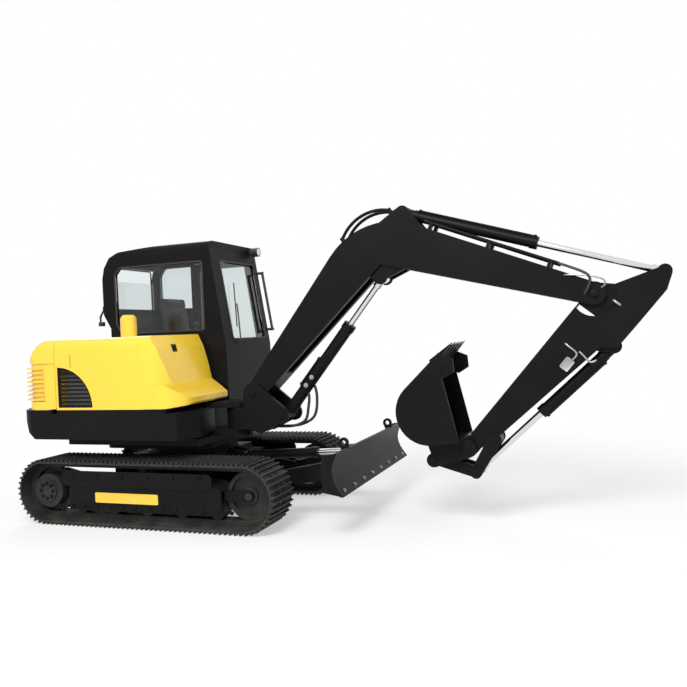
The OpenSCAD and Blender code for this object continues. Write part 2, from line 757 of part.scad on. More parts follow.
// Side windows, each moved in by i
module rear_window(i) polygon([[-cab_rear + pillar + i, 1960 + i], [post_x - 45 - i, 1960 + i],
    [post_x - 45 - i, window_top - i], [-cab_rear + pillar + 60 + i, window_top - i],
    [-cab_rear + pillar + i, window_top - 90 - i]]);
long_rear = cab_rear - 155;
long_front = 212;
long_low = 1700;
long_top = roof_low - 115;
module long_window(i) polygon([[-long_rear + i, long_low + 90 + i], [-long_rear + 70 + i, long_low + i],
    [long_front - i, long_low + i], [long_front - i, long_top - i], [-long_rear + 60 + i, long_top - i],
    [-long_rear + i, long_top - 70 - i]]);

module cab_floor() color(black) framed()
    block([-cab_rear + 80, -cab_right, cab_base], [cab_front, cab_left, cab_floor_z]);

module cab_right_wall() color(black) framed() difference() {
    side(-cab_right + cab_t / 2, cab_t) cab_shape(0);
        side(-cab_right + cab_t / 2, cab_t + 2) long_window(0);
}

// Door opening on the left side, grown by i
module door_shape(i) polygon([[post_x - i, cab_floor_z + 20 - i], [cab_front - pillar - 12 + i,
    cab_floor_z + 20 - i],
    [slope_x(sill_z) - pillar + i, sill_z], [slope_x(window_top + 10) - pillar + i, window_top + 10 + i],
    [post_x - i, window_top + 10 + i]]);
module door_window(i) polygon([[post_x + 60 + i, 1420 + i], [slope_x(1420) - pillar - 60 - i, 1420 + i],
    [slope_x(window_top) - pillar - 60 - i, window_top - 45 - i], [post_x + 60 + i, window_top - 45 - i]]);
door_gap = 6;
module cab_left_wall() color(black) framed() {
    left_panel();
    for (z = door_hinge_zs) {
        translate([door_axis[0], door_axis[1], z]) cylinder(h = knuckle_h, r = knuckle_r);
        translate([door_axis[0] - 60, cab_left, z]) cube([60, 8, knuckle_h]);
        translate([door_axis[0], door_axis[1], z]) cylinder(h = 2 * knuckle_h, r = hinge_pin_r);
    }
}
module left_panel() difference() {
    side(cab_left - cab_t / 2, cab_t) cab_shape(0);
    side(cab_left - cab_t / 2, cab_t + 2) door_shape(door_gap);
    side(cab_left - cab_t / 2, cab_t + 2) rear_window(0);
}
// Hinges at the door's rear edge
knuckle_r = 13;
knuckle_h = 50;
hinge_pin_r = 7;
door_axis = [post_x - 3, cab_left + knuckle_r + 0.5];
door_hinge_zs = [1180, 2250];
module cab_door() color(black) framed() {
    difference() {
        side(cab_left - cab_t / 2, cab_t) door_shape(0);
        side(cab_left - cab_t / 2, cab_t + 2) door_window(0);
    }
    for (z = door_hinge_zs)
        difference() {
            union() {
                translate([door_axis[0], door_axis[1], z + knuckle_h + 1]) cylinder(h = knuckle_h - 2,
                    r = knuckle_r);
                translate([door_axis[0], cab_left, z + knuckle_h + 1]) cube([60, 8, knuckle_h - 2]);
            }
            translate([door_axis[0], door_axis[1], z]) cylinder(h = 200, r = hinge_pin_r + pin_gap);
        }
    // Handle
    side(cab_left + 6, 16) translate([cab_front - pillar - 150, 1330]) square([100, 26]);
}

cab_in_right = -cab_right + cab_t;
cab_in_left = cab_left - cab_t;
cab_mid = (cab_in_right + cab_in_left) / 2;
cab_in_w = cab_in_left - cab_in_right;
module cab_rear_wall() color(black) framed() difference() {
    side(cab_mid, cab_in_w) intersection() {
        difference() {
            cab_shape(0);
            polygon(cab_outline(cab_t));
        }
        translate([-2000, 0]) square([1500, 4000]);
    }
    translate([-cab_rear - 10, cab_in_right + 70, 1960]) cube([200, cab_in_w - 140, window_top - 2000]);
}
screen_right = cab_in_right + 118;
screen_left = cab_in_left - 30;
screen_low = sill_z + 55;
screen_top = roof_low - 105;
module cab_front() color(black) framed() difference() {
    side(cab_mid, cab_in_w) intersection() {
        difference() {
            cab_shape(0);
            polygon(cab_outline(cab_t));
        }
        translate([100, 0]) square([1500, 4000]);
    }
        translate([100, screen_right, screen_low]) cube([800, screen_left - screen_right, screen_top - screen_low]);
}
pane = 6;
pane_in = 16;
module cab_glass() color(glass) framed() {
        side(-cab_right + pane_in, pane) long_window(seat_gap);

    side(cab_left - pane_in, pane) rear_window(seat_gap);
    intersection() {
                side(cab_mid, cab_in_w) difference() {
            polygon(cab_outline(pane_in));
            polygon(cab_outline(pane_in + pane));
        }
        translate([100, screen_right + seat_gap, screen_low + seat_gap])
            cube([800, screen_left - screen_right - 2 * seat_gap, screen_top - screen_low - 2 * seat_gap]);
    }
    translate([-cab_rear + pane_in, cab_in_right + 70 + seat_gap, 1960 + seat_gap])
        cube([pane, cab_in_w - 140 - 2 * seat_gap, roof_z - 300 - 1960 - 10]);
}
module door_glass() color(glass) framed() side(cab_left - pane_in, pane) door_window(seat_gap);

roof_round = 70;
module cab_roof() color(black) framed() intersection() {
    side((cab_left - cab_right) / 2, cab_left + cab_right) intersection() {
        polygon(cab_outline(0));
        translate([-2000, roof_low]) square([4000, 500]);
    }
    translate([-2000, 0, 0]) rotate([90, 0, 90]) linear_extrude(4000) {
        translate([-cab_right, roof_low - 10]) square([cab_right + cab_left,
            roof_z - roof_low - roof_round + 10]);
        translate([-cab_right + roof_round,
            roof_low - 10]) square([cab_right + cab_left - 2 * roof_round, 500]);
        for (y = [-cab_right + roof_round, cab_left - roof_round]) translate([y,
            roof_z - roof_round]) circle(roof_round);
    }
}

seat_x = -420;
seat_y = 435;
seat_z = 1440;
module seat_base() color(black) framed() block([seat_x + 40, seat_y - 170, cab_floor_z], [seat_x + 400,
    seat_y + 170, seat_z]);
module seat() color(grey) framed() {
    translate([seat_x, seat_y - 240, seat_z + seat_gap]) cube([480, 480, 110]);
    side(seat_y, 460) polygon([[seat_x, seat_z + 60], [seat_x + 110, seat_z + 60], [seat_x + 20, 2080],
        [seat_x - 80, 2080]]);
}
module consoles() color(black) framed() for (s = [-1, 1]) {
    y = seat_y + s * 330;
    block([seat_x + 80, y - 55, cab_floor_z], [seat_x + 480, y + 55, 1580]);
    bar([seat_x + 400, y, 1570], [seat_x + 440, y, 1760], 14);
    translate([seat_x + 443, y, 1770]) sphere(26);
}
module work_lamp() color(grey) framed() {
    block([roof_front, cab_left - 130, roof_low + 10], [roof_front + 30, cab_left - 60, roof_low + 50]);
    across([roof_front + 62, roof_low + 10], cab_left - 95, 60, 14);
    translate([roof_front + 29, cab_left - 95, roof_low + 30]) rotate([0, 90, 0]) cylinder(h = 70, r = 48);
}
rail_r = 14;
rail_seat = 2.5;
module grab_rail() color(black) framed() {
    y = cab_left - 30;
    top = [slope_x(2290) + 66, y, 2290];
    low = [slope_x(1690) + 70, y, 1690];
    bar([slope_x(2290) + rail_seat, y, 2290], top + [rail_r, 0, 0], rail_r);
    bar([slope_x(1690) + rail_seat, y, 1690], low + [rail_r, 0, 0], rail_r);
    bar(low - [0, 0, rail_r], top + [0, 0, rail_r], rail_r);
}

// Swing post: turns on the swing pin, carries the boom's foot and its cylinder
ear_t = 32;
post_ear_y = boom_w / 2 + side_gap + ear_t / 2;
post_r = 105;
boom_eye_w = 143;
boom_eye_r = 50;
foot_r = 85;
module swing_post() color(black) framed() {
    difference() {
        union() {
            translate([swing_x, -boom_y, post_low]) cylinder(h = post_top - post_low, r = post_r);
            block([swing_x, -boom_y - 110, post_low], [foot_x - foot_r - 12, -boom_y + 110, post_top]);
            for (s = [-1, 1]) {
                side(-boom_y + s * post_ear_y, ear_t) {
                    polygon([[swing_x + 40, post_low], [swing_x + 40, post_top], [swing_x + 130, post_top],
                        foot + [-90, 20],
                        foot + [0, -60],
                        boom_cyl_foot + [0, -60], [foot_x + 60, post_low - 40], [foot_x - 20, post_low]]);
                    strap(foot, 92, boom_cyl_foot, 74);
                }
                // Bosses that take up the room beside the cylinder's eye
                across(boom_cyl_foot, -boom_y + s * (boom_eye_w / 2 + side_gap + (post_ear_y
                    - ear_t / 2 - boom_eye_w / 2
                    - side_gap) / 2), post_ear_y - ear_t / 2 - boom_eye_w / 2 - side_gap, 56);
                block([foot_x - foot_r - 60, -boom_y + (s > 0 ? 100 : -post_ear_y), post_low],
                    [foot_x - foot_r - 12, -boom_y + (s > 0 ? post_ear_y : -100), post_top]);
            }
            block([foot_x - 30, -boom_y - post_ear_y, post_low - 20], [foot_x + 110,
                -boom_y + post_ear_y, post_low + 40]);
            across(foot, -boom_y, 2 * post_ear_y + ear_t + 10, pin_r);
            across(boom_cyl_foot, -boom_y, 2 * post_ear_y + ear_t + 10, pin_r);
        }
        translate([swing_x, -boom_y, 0]) cylinder(h = 3000, r = swing_pin_r + pin_gap);
    }
}

// Boom outline: three circles joined by their tangents, its belly cut back to a blunt knee
tip_r = 85;
boom_wall = 12;
boom_steps = 10;
ear_low = [1460, 1060];
ear_top = arm_cyl_foot + [-24, 53];
belly = [1450, 738];
function tangent(a, ra, b, rb, s) =
    let (d = b - a, ang = atan2(d[1], d[0]) + s * acos((ra - rb) / norm(d))) [a + ra * [cos(ang), sin(ang)],
        b + rb * [cos(ang), sin(ang)], ang];
function point_tangent(p, c, r, s) =
    let (d = c - p, n = norm(d), ang = atan2(-d[1], -d[0]) + s * acos(r / n)) c + r * [cos(ang), sin(ang)];
module boom_side(i) {
    tip = [boom_len, 0];
    up = tangent([0, 0], foot_r - i, knee, knee_r - i, 1);
    down = tangent(knee, knee_r - i, tip, tip_r - i, 1);
    v = belly + [0, i * 1.2];
    polygon(concat([up[0]],
        [for (k = [0 : boom_steps]) let (a = up[2] + (down[2] - up[2]) * k / boom_steps) knee + (knee_r
            - i) * [cos(a), sin(a)]],
        [down[1], point_tangent(v, tip, tip_r - i, 1), v, point_tangent(v, [0, 0], foot_r - i, -1)]));
    if (i == 0) {
        circle(foot_r);
        translate(tip) circle(tip_r);
    }
}
module boom_plane() translate(foot) rotate(boom_angle) children();
boom_ear_t = 25;
arm_cyl_eye_w = 104;
module boom() color(black) framed() {
    boom_box();
    across(boom_tip, -boom_y, boom_w + 24, pin_r);
}
module boom_box() difference() {
    union() {
        side(-boom_y, boom_w) boom_plane() boom_side(0);
        // Ears for the boom cylinder's rod, under the knee
        for (s = [-1, 1])
            side(-boom_y + s * (boom_eye_w / 2 + 0.5 + boom_ear_t / 2), boom_ear_t) boom_plane() {
                translate(boom_rod_eye) circle(60);
                polygon([boom_rod_eye + [-56, -22], boom_rod_eye + [52, -30], [1640, 640], [1560, 740],
                    [1300, 730]]);
            }
        // Ears for the arm cylinder, on the back
        for (s = [-1, 1])
            side(-boom_y + s * (arm_cyl_eye_w / 2 + side_gap + boom_ear_t / 2), boom_ear_t) boom_plane() {
                translate(arm_cyl_foot) circle(58);
                polygon([ear_low, ear_top, arm_cyl_foot + [50, 28], [1900, 860],
                    [1600, 900]]);
            }
        across(on_boom(arm_cyl_foot), -boom_y, arm_cyl_eye_w + 2 * (side_gap + boom_ear_t) + 12, 28);
        for (s = [-1, 1]) across(on_boom(boom_rod_eye), -boom_y + s * (boom_eye_w / 2 + 14), 26, 34);
    }
    // Hollow box, its belly open above the cylinder
    side(-boom_y, boom_w - 2 * boom_wall) intersection() {
        boom_plane() boom_side(boom_wall);
        boom_plane() translate([150, -500]) square([boom_len - 330, 3000]);
    }
    side(-boom_y, boom_eye_w + 1) boom_plane() polygon([[330, -100], [330, 260], [1200, 850], [1600,
        850], [1600, 500]]);
    across(foot, -boom_y, boom_w + 10, pin_r + pin_gap);
    // Fork at the tip, where the arm enters
    side(-boom_y, tip_in_w + 2 * side_gap) boom_plane() translate([boom_len, 0]) circle(fork_r);
}
tip_in_w = 150;
fork_r = 175;

tube_r = 13;
tube_lift = 52;
tube_y = 95;
tube_end = 320;
// Hoses over the knee, from a boss on the boom's back to one on the arm cylinder's ear
hose_r = 14;
hose_boss_r = 18;
hose_mid = [1466, 825];
hose_bend = 372;
hose_span = [62, 142];
module knee_hose(y) {
    translate([0, y, 0]) rotate([90, 0, 0]) boom_plane() translate(hose_mid) rotate(hose_span[0])
        rotate_extrude(angle = hose_span[1] - hose_span[0]) translate([hose_bend, 0]) circle(hose_r);
    up = tangent([0, 0], foot_r, knee, knee_r, 1)[2];
    down = tangent(knee, knee_r, [boom_len, 0], tip_r, 1)[2];
    back = up + (down - up) * 2 / boom_steps;
    boss(on_boom(knee + knee_r * [cos(back), sin(back)]), back + boom_angle, y, 46);
    slope = ear_top - ear_low;
    square_to = atan2(slope[1], slope[0]) + 90;
    boss(on_boom(ear_low + 0.742 * slope), square_to + boom_angle, y, 44);
}
// A short round boss standing on p = [x, z] at an angle
module boss(p, angle, y, h) {
    out = [cos(angle), 0, sin(angle)];
    from = [p[0], y, p[1]];
    bar(from + seat_gap * out, from + h * out, hose_boss_r);
}
module boom_tubes() color(black) framed() {
    for (s = [-1, 1])
        knee_hose(-boom_y + s * (arm_cyl_eye_w / 2 + side_gap + boom_ear_t / 2));
    down = tangent(knee, knee_r, [boom_len, 0], tip_r, 1);
    along = (down[1] - down[0]) / norm(down[1] - down[0]);
    off = [cos(down[2]), sin(down[2])];
    a = down[0] + along * 60 + off * tube_lift;
    b = down[1] - along * tube_end + off * tube_lift;
    for (s = [-1, 1]) {
        pa = on_boom(a);
        pb = on_boom(b);
        bar([pa[0], -boom_y + s * tube_y, pa[1]], [pb[0], -boom_y + s * tube_y, pb[1]], tube_r);
    }
    for (t = [0.06, 0.5, 0.94], s = [-1, 1])
        side(-boom_y + s * tube_y, 44) boom_plane() translate(a + (b - a) * t) rotate(down[2])
            translate([-tube_lift, -14]) square([tube_lift + 4, 28]);
}

boom_barrel_len = 1000;
module boom_cylinder() color(black) framed()
    barrel(boom_cyl_foot, on_boom(boom_rod_eye), boom_y, boom_barrel_len, boom_cyl_r, boom_eye_w,
        boom_eye_r, pin_r);
module boom_rod() color(steel) framed()
    rod(boom_cyl_foot, on_boom(boom_rod_eye), boom_y, 460, boom_eye_w, boom_eye_r);

arm_barrel_len = 1130;
arm_eye_w = 74;
module arm_cylinder() color(black) framed()
    barrel(on_boom(arm_cyl_foot), on_arm(arm_rod_eye), boom_y, arm_barrel_len, arm_cyl_r, arm_cyl_eye_w,
        48, 28);
module arm_rod() color(steel) framed()
    rod(on_boom(arm_cyl_foot), on_arm(arm_rod_eye), boom_y, 940, arm_eye_w, 48);

// Arm: a box beam with a deep root
module arm_plane() translate(boom_tip) rotate(arm_angle) children();
arm_root_r = 95;
rocker_boss = 48;

arm_tip_r = 78;
arm_wall = 10;
module arm_side(i) {
    polygon([[-60 + i, -70 + i], [120, -48 + i], [arm_len - 20, -55 + i], [arm_len + 10, 60 - i],
        [arm_len - 270, 136 - i], [290, 290 - i], [225, 385 - i], [-10, 388 - i], [-330, 388 - i],
        arm_rod_eye + [-20 + i, 50 - i], arm_rod_eye + [-46 + i, -22 + i], arm_rod_eye + [10 + i, -52 + i],
        [-150 + i, 74 + i]]);
    if (i == 0) {
        circle(arm_root_r);
        translate([arm_len, 0]) circle(arm_tip_r);
        translate(arm_rod_eye) circle(rod_boss);
        translate(rocker_pivot) circle(rocker_boss);
    }
}
bucket_cyl_eye_w = 84;
module arm() color(black) framed() {
    arm_box();
    across(on_arm(bucket_cyl_foot), -boom_y, bucket_cyl_eye_w + 2 * side_gap + 56, 26);
}
module arm_box() difference() {
    union() {
        side(-boom_y, arm_w) arm_plane() arm_side(0);
        // Ears for the bucket cylinder
        for (s = [-1, 1])
            side(-boom_y + s * (bucket_cyl_eye_w / 2 + side_gap + 11), 22) arm_plane() {
                translate(bucket_cyl_foot) circle(56);
                polygon([bucket_cyl_foot + [-50, 26], [-40, 380], [100, 200], [360, 240],
                    bucket_cyl_foot + [36, 42]]);
            }
    }
    side(-boom_y, arm_w - 2 * arm_wall) intersection() {
        arm_plane() arm_side(arm_wall);
        arm_plane() translate([130, -200]) square([arm_len - 420, 700]);
    }
    // The root is narrow between the boom's cheeks
    for (s = [-1, 1])
        side(-boom_y + s * (tip_in_w / 2 + 100), 200) arm_plane() circle(fork_r - 5);
    across(boom_tip, -boom_y, 400, pin_r + pin_gap);
    across(arm_tip, -boom_y, 400, pin_r + pin_gap);
    across(on_arm(rocker_pivot), -boom_y, 400, 28 + pin_gap);
    // Clevis for the arm cylinder's rod
    side(-boom_y, arm_eye_w + 1) arm_plane() translate(arm_rod_eye) circle(190);
    // Room for the bucket cylinder's foot
    side(-boom_y, bucket_cyl_eye_w + 2 * side_gap) arm_plane() translate(bucket_cyl_foot) circle(75);
}

bucket_barrel_len = 760;
module bucket_cylinder() color(black) framed()
    barrel(on_arm(bucket_cyl_foot), rocker_end, boom_y, bucket_barrel_len, bucket_cyl_r,
        bucket_cyl_eye_w, 46, 26);
module bucket_rod() color(steel) framed()
    rod(on_arm(bucket_cyl_foot), rocker_end, boom_y, 640, rod_eye_w, 44);

rocker_pin_r = 28;
module rocker() color(black) framed() {
    for (s = [-1, 1])
        side(-boom_y + s * rocker_y, rocker_t) strap(on_arm(rocker_pivot), 54, rocker_end, 46);
    across(on_arm(rocker_pivot), -boom_y, 2 * rocker_y + rocker_t + 8, rocker_pin_r);
}

link_pin_r = 28;
module bucket_link() color(black) framed() difference() {
    side(-boom_y, 2 * link_hw) strap(link_pin_xz, 50, rocker_end, 46);
    side(-boom_y, rod_eye_w + 4) translate(rocker_end) circle(150);
    across(link_pin_xz, -boom_y, 400, link_pin_r + pin_gap);
}

// Bucket: a rolled shell between two cheeks, on two ears
roll = [330, 250];
roll_r = 265;
roll_end = 42;
lip = [bucket_r - 90, 135];
heel = [75, 25];
shell_t = 14;
module bucket_plane() translate(bucket_pin) rotate(bucket_angle) children();
function roll_arc(r) = [for (a = [180 : -(180 - roll_end) / 14 : roll_end - 0.1]) roll + r * [cos(a),
    sin(a)]];
module bucket_side(i) polygon(concat([heel + [i, -i]], roll_arc(roll_r - i), [lip + [i * 0.2, -i * 1.2]]));
module tooth_side() polygon([lip + [-70, 50], lip + [-30, 60], [bucket_r, 0], lip + [-40, -18]]);
module bucket() color(black) framed() {
    difference() {
        side(-boom_y, bucket_w - 32) bucket_plane() bucket_side(0);
        side(-boom_y, bucket_w - 32 - 2 * shell_t) bucket_plane() bucket_side(shell_t);
        // Open mouth
        side(-boom_y, bucket_w - 32 - 2 * shell_t) bucket_plane()
            polygon([heel + [shell_t, 80], heel + [shell_t, -200], lip + [0, -200], lip + [-2, -14]]);
    }
    for (s = [-1, 1]) {
        side(-boom_y + s * bucket_ear_y, bucket_ear_t) bucket_plane() {
            strap([0, 0], 74, link_pin, 58);
            polygon([[0, 0], link_pin, [100, 330], [90, 40]]);
        }
        across(link_pin_xz, -boom_y + s * (link_hw + side_gap + 22), 44, 50);
        across(bucket_pin, -boom_y + s * (arm_w / 2 + side_gap + 16), 32, 60);
        // Side cutters
        side(-boom_y + s * (bucket_w / 2 - 8), 16) bucket_plane()
            polygon([[590, 90], [638, 0], [738, 0], lip + [20, -20], lip + [-60, 30], [620, 150]]);
    }
    across(bucket_pin, -boom_y, 2 * bucket_ear_y + bucket_ear_t + 10, pin_r);
    across(link_pin_xz, -boom_y, 2 * bucket_ear_y + bucket_ear_t + 10, link_pin_r);
    pitch = (bucket_w - 120) / (tooth_count - 1);
    for (i = [0 : tooth_count - 1])
        side(-boom_y - (bucket_w - 120) / 2 + i * pitch, 56) bucket_plane() tooth_side();
}

centre_frame();
track_frame_right();
track_frame_left();
track_right();
track_left();
sprockets();
idlers();
track_rollers();
slew_ring();
blade();
blade_cylinder();
blade_rod();
upper_frame();
counterweight();
rear_hood();
side_cover();
side_grille();
engine();
tank();
exhaust();
rear_bracket();
cab_floor();
cab_right_wall();
cab_left_wall();
cab_rear_wall();
cab_front();
cab_roof();
cab_glass();
cab_door();
door_glass();
seat();
seat_base();
consoles();
work_lamp();
grab_rail();
swing_post();
boom();
boom_tubes();
boom_cylinder();
boom_rod();
arm_cylinder();
arm_rod();
arm();
bucket_cylinder();
bucket_rod();
rocker();
bucket_link();
bucket();
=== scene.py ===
# %% [markdown]
# # Dressing a compact digging machine
# The solids come from the CAD model and stay where they are. This lesson gives them paint, steel, glass and cloth,
# and adds the small pieces that the solids leave out: bolts, plates, shields, seals, pipes, hoses, lamps and the
# padded seat.

# %% Load the frame
import json
import math
import bpy
from mathutils import Matrix, Vector


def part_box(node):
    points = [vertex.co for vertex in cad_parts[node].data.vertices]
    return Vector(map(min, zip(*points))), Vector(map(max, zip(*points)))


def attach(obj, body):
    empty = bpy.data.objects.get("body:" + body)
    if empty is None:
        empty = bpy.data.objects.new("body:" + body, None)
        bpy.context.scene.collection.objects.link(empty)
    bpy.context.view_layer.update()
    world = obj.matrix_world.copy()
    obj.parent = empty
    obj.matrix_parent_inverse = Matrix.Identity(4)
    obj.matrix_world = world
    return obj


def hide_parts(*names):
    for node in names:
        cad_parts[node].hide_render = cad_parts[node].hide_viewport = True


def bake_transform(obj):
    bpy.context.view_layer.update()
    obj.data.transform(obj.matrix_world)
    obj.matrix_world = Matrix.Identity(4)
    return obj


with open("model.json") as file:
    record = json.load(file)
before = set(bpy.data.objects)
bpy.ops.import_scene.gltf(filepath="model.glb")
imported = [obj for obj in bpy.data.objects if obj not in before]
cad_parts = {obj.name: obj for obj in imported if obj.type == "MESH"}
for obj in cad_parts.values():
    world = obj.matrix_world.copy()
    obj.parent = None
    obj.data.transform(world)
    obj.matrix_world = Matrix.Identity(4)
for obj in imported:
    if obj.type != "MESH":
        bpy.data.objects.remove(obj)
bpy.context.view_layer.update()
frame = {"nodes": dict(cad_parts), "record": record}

nodes = frame["nodes"]
joint_at = {j["name"]: Vector(j["pos_m"]) for j in frame["record"]["behaviour"]["joints"]}
slew_x = joint_at["slew"].x
print("nodes:", len(nodes), "slew axis at", round(slew_x, 4))

# %% [markdown]
# ## Camera
# The photograph was taken from the machine's right front corner at about eye height. Its place and turn were worked
# out from the pins and edges that can be measured in the picture. They are given from the slew axis, because the
# model's own origin is the middle of its footprint.

# %% Camera
scene = bpy.context.scene
scene.view_settings.view_transform = "Standard"


def at(x, y, z):
    """A point given in metres from the slew axis."""
    return Vector((x + slew_x, y, z))


camera_place = at(3.864, -6.154, 1.618)
camera_yaw = math.radians(20.15)
camera_pitch = math.radians(-0.859)
camera_roll = math.radians(-2.524)
photo_width, focal_pixels = 687, 727.44
ahead = Vector((-math.sin(camera_yaw) * math.cos(camera_pitch), math.cos(camera_yaw) * math.cos(camera_pitch),
                math.sin(camera_pitch)))
level = ahead.cross(Vector((0, 0, 1))).normalized()
upright = level.cross(ahead)
rightward = math.cos(camera_roll) * level + math.sin(camera_roll) * upright
upward = -math.sin(camera_roll) * level + math.cos(camera_roll) * upright
bpy.ops.object.select_all(action="DESELECT")
bpy.ops.object.camera_add()
camera = bpy.context.object
turn = Matrix((rightward, upward, -ahead)).transposed().to_4x4()
camera.matrix_world = Matrix.Translation(camera_place) @ turn
camera.data.sensor_fit = "HORIZONTAL"
camera.data.sensor_width = 36
camera.data.lens = focal_pixels / photo_width * camera.data.sensor_width
scene.camera = camera
print("camera at", [round(v, 3) for v in camera.location], "lens", round(camera.data.lens, 2))

# %% [markdown]
# ## Floor and world
# The machine stands on white. The floor catches its shadow, and fades to plain white a few metres away, so that no
# horizon shows. The Light Path node tells camera rays from the rays that only carry light: the camera, mirrors and
# glass see a white world, while the light it gives stays moderate.

# %% Floor and world


def seen_rays(tree):
    """1 for rays that end up as a picture: straight, mirrored or through glass."""
    rays = tree.nodes.new("ShaderNodeLightPath")
    total = rays.outputs["Is Camera Ray"]
    for kind in ("Is Glossy Ray", "Is Transmission Ray"):
        most = tree.nodes.new("ShaderNodeMath")
        most.operation = "MAXIMUM"
        tree.links.new(total, most.inputs[0])
        tree.links.new(rays.outputs[kind], most.inputs[1])
        total = most.outputs[0]
    return total


bpy.ops.object.select_all(action="DESELECT")
bpy.ops.mesh.primitive_plane_add(size=120, location=(0, 0, -0.002))
floor = bpy.context.object
floor.name = "floor"
floor_paint = bpy.data.materials.new("floor_paint")
floor_paint.use_nodes = True
ground = floor_paint.node_tree
floor_shader = ground.nodes["Principled BSDF"]
floor_shader.inputs["Base Color"].default_value = (0.9, 0.9, 0.9, 1)
floor_shader.inputs["Roughness"].default_value = 0.9
floor_shader.inputs["Specular IOR Level"].default_value = 0.1
glow = ground.nodes.new("ShaderNodeEmission")
distance = ground.nodes.new("ShaderNodeVectorMath")
distance.operation = "LENGTH"
ground.links.new(ground.nodes.new("ShaderNodeTexCoord").outputs["Object"], distance.inputs[0])
fade = ground.nodes.new("ShaderNodeMapRange")
fade.interpolation_type = "SMOOTHSTEP"
fade.inputs["From Min"].default_value = 1.5
fade.inputs["From Max"].default_value = 6.0
fade.inputs["To Min"].default_value = 0.45
fade.inputs["To Max"].default_value = 1.0
ground.links.new(distance.outputs["Value"], fade.inputs["Value"])
share = ground.nodes.new("ShaderNodeMath")
share.operation = "MULTIPLY"
ground.links.new(fade.outputs[0], share.inputs[0])
ground.links.new(seen_rays(ground), share.inputs[1])
blend = ground.nodes.new("ShaderNodeMixShader")
ground.links.new(share.outputs[0], blend.inputs[0])
ground.links.new(floor_shader.outputs[0], blend.inputs[1])
ground.links.new(glow.outputs[0], blend.inputs[2])
ground.links.new(blend.outputs[0], ground.nodes["Material Output"].inputs["Surface"])
floor.data.materials.append(floor_paint)

world = bpy.data.worlds.new("studio")
scene.world = world
world.use_nodes = True
sky = world.node_tree
background = sky.nodes["Background"]
background.inputs["Color"].default_value = (0.95, 0.97, 1.0, 1)
background.inputs["Strength"].default_value = 0.5
white = sky.nodes.new("ShaderNodeBackground")
white.inputs["Color"].default_value = (1, 1, 1, 1)
chooser = sky.nodes.new("ShaderNodeMixShader")
sky.links.new(seen_rays(sky), chooser.inputs[0])
sky.links.new(background.outputs[0], chooser.inputs[1])
sky.links.new(white.outputs[0], chooser.inputs[2])
sky.links.new(chooser.outputs[0], sky.nodes["World Output"].inputs["Surface"])
print("floor and world ready")

# %% [markdown]
# ## Lamps
# One large lamp stands in for a bright sky on the right. Two weaker ones fill the front and the back.

# %% Lamps


def studio_lamp(name, place, target, size, power):
    """A round lamp that looks at a target."""
    bpy.ops.object.select_all(action="DESELECT")
    bpy.ops.object.light_add(type="AREA", location=place)
    lamp = bpy.context.object
    lamp.name = name
    lamp.data.shape = "DISK"
    lamp.data.size = size
    lamp.data.energy = power
    lamp.rotation_euler = (Vector(target) - Vector(place)).to_track_quat("-Z", "Y").to_euler()


studio_lamp("key_lamp", place=(0.6, -6.5, 6.5), target=(-0.4, 0, 1.0), size=4.0, power=640)
studio_lamp("fill_lamp", place=(6.5, -2.0, 3.0), target=(0.5, 0, 1.0), size=3.0, power=60)
studio_lamp("back_lamp", place=(-5.0, 4.5, 5.0), target=(-0.5, 0, 1.2), size=4.0, power=180)

# %% [markdown]
# ## Shared effects
# Paint, steel and plastic on this machine share three effects: edges rubbed bare, a fine grain in the surface, and
# pale dust that settles low down and on what faces upwards. Each one is a node group, built once, that puts out a
# mask or a height for a material to use with its own strength.

# %% Effect groups


def new_group(name, inputs, outputs):
    """An empty node group with its sockets, and its input and output nodes."""
    group = bpy.data.node_groups.new(name, "ShaderNodeTree")
    for label, kind, value in inputs:
        socket = group.interface.new_socket(label, in_out="INPUT", socket_type=kind)
        socket.default_value = value
    for label, kind in outputs:
        group.interface.new_socket(label, in_out="OUTPUT", socket_type=kind)
    return group, group.nodes.new("NodeGroupInput"), group.nodes.new("NodeGroupOutput")


def feed(tree, socket, value):
    """Gives a socket a number or a colour, or links it to an output."""
    if isinstance(value, (int, float)):
        socket.default_value = value
    elif isinstance(value, tuple):
        socket.default_value = (*value, 1)
    else:
        tree.links.new(value, socket)


def maths(tree, operation, a, b, clamp=False):
    node = tree.nodes.new("ShaderNodeMath")
    node.operation = operation
    node.use_clamp = clamp
    feed(tree, node.inputs[0], a)
    feed(tree, node.inputs[1], b)
    return node.outputs[0]


def noise(tree, scale, detail):
    node = tree.nodes.new("ShaderNodeTexNoise")
    node.inputs["Detail"].default_value = detail
    feed(tree, node.inputs["Scale"], scale)
    where = tree.nodes.new("ShaderNodeTexCoord")
    tree.links.new(where.outputs["Object"], node.inputs["Vector"])
    return node.outputs[0]


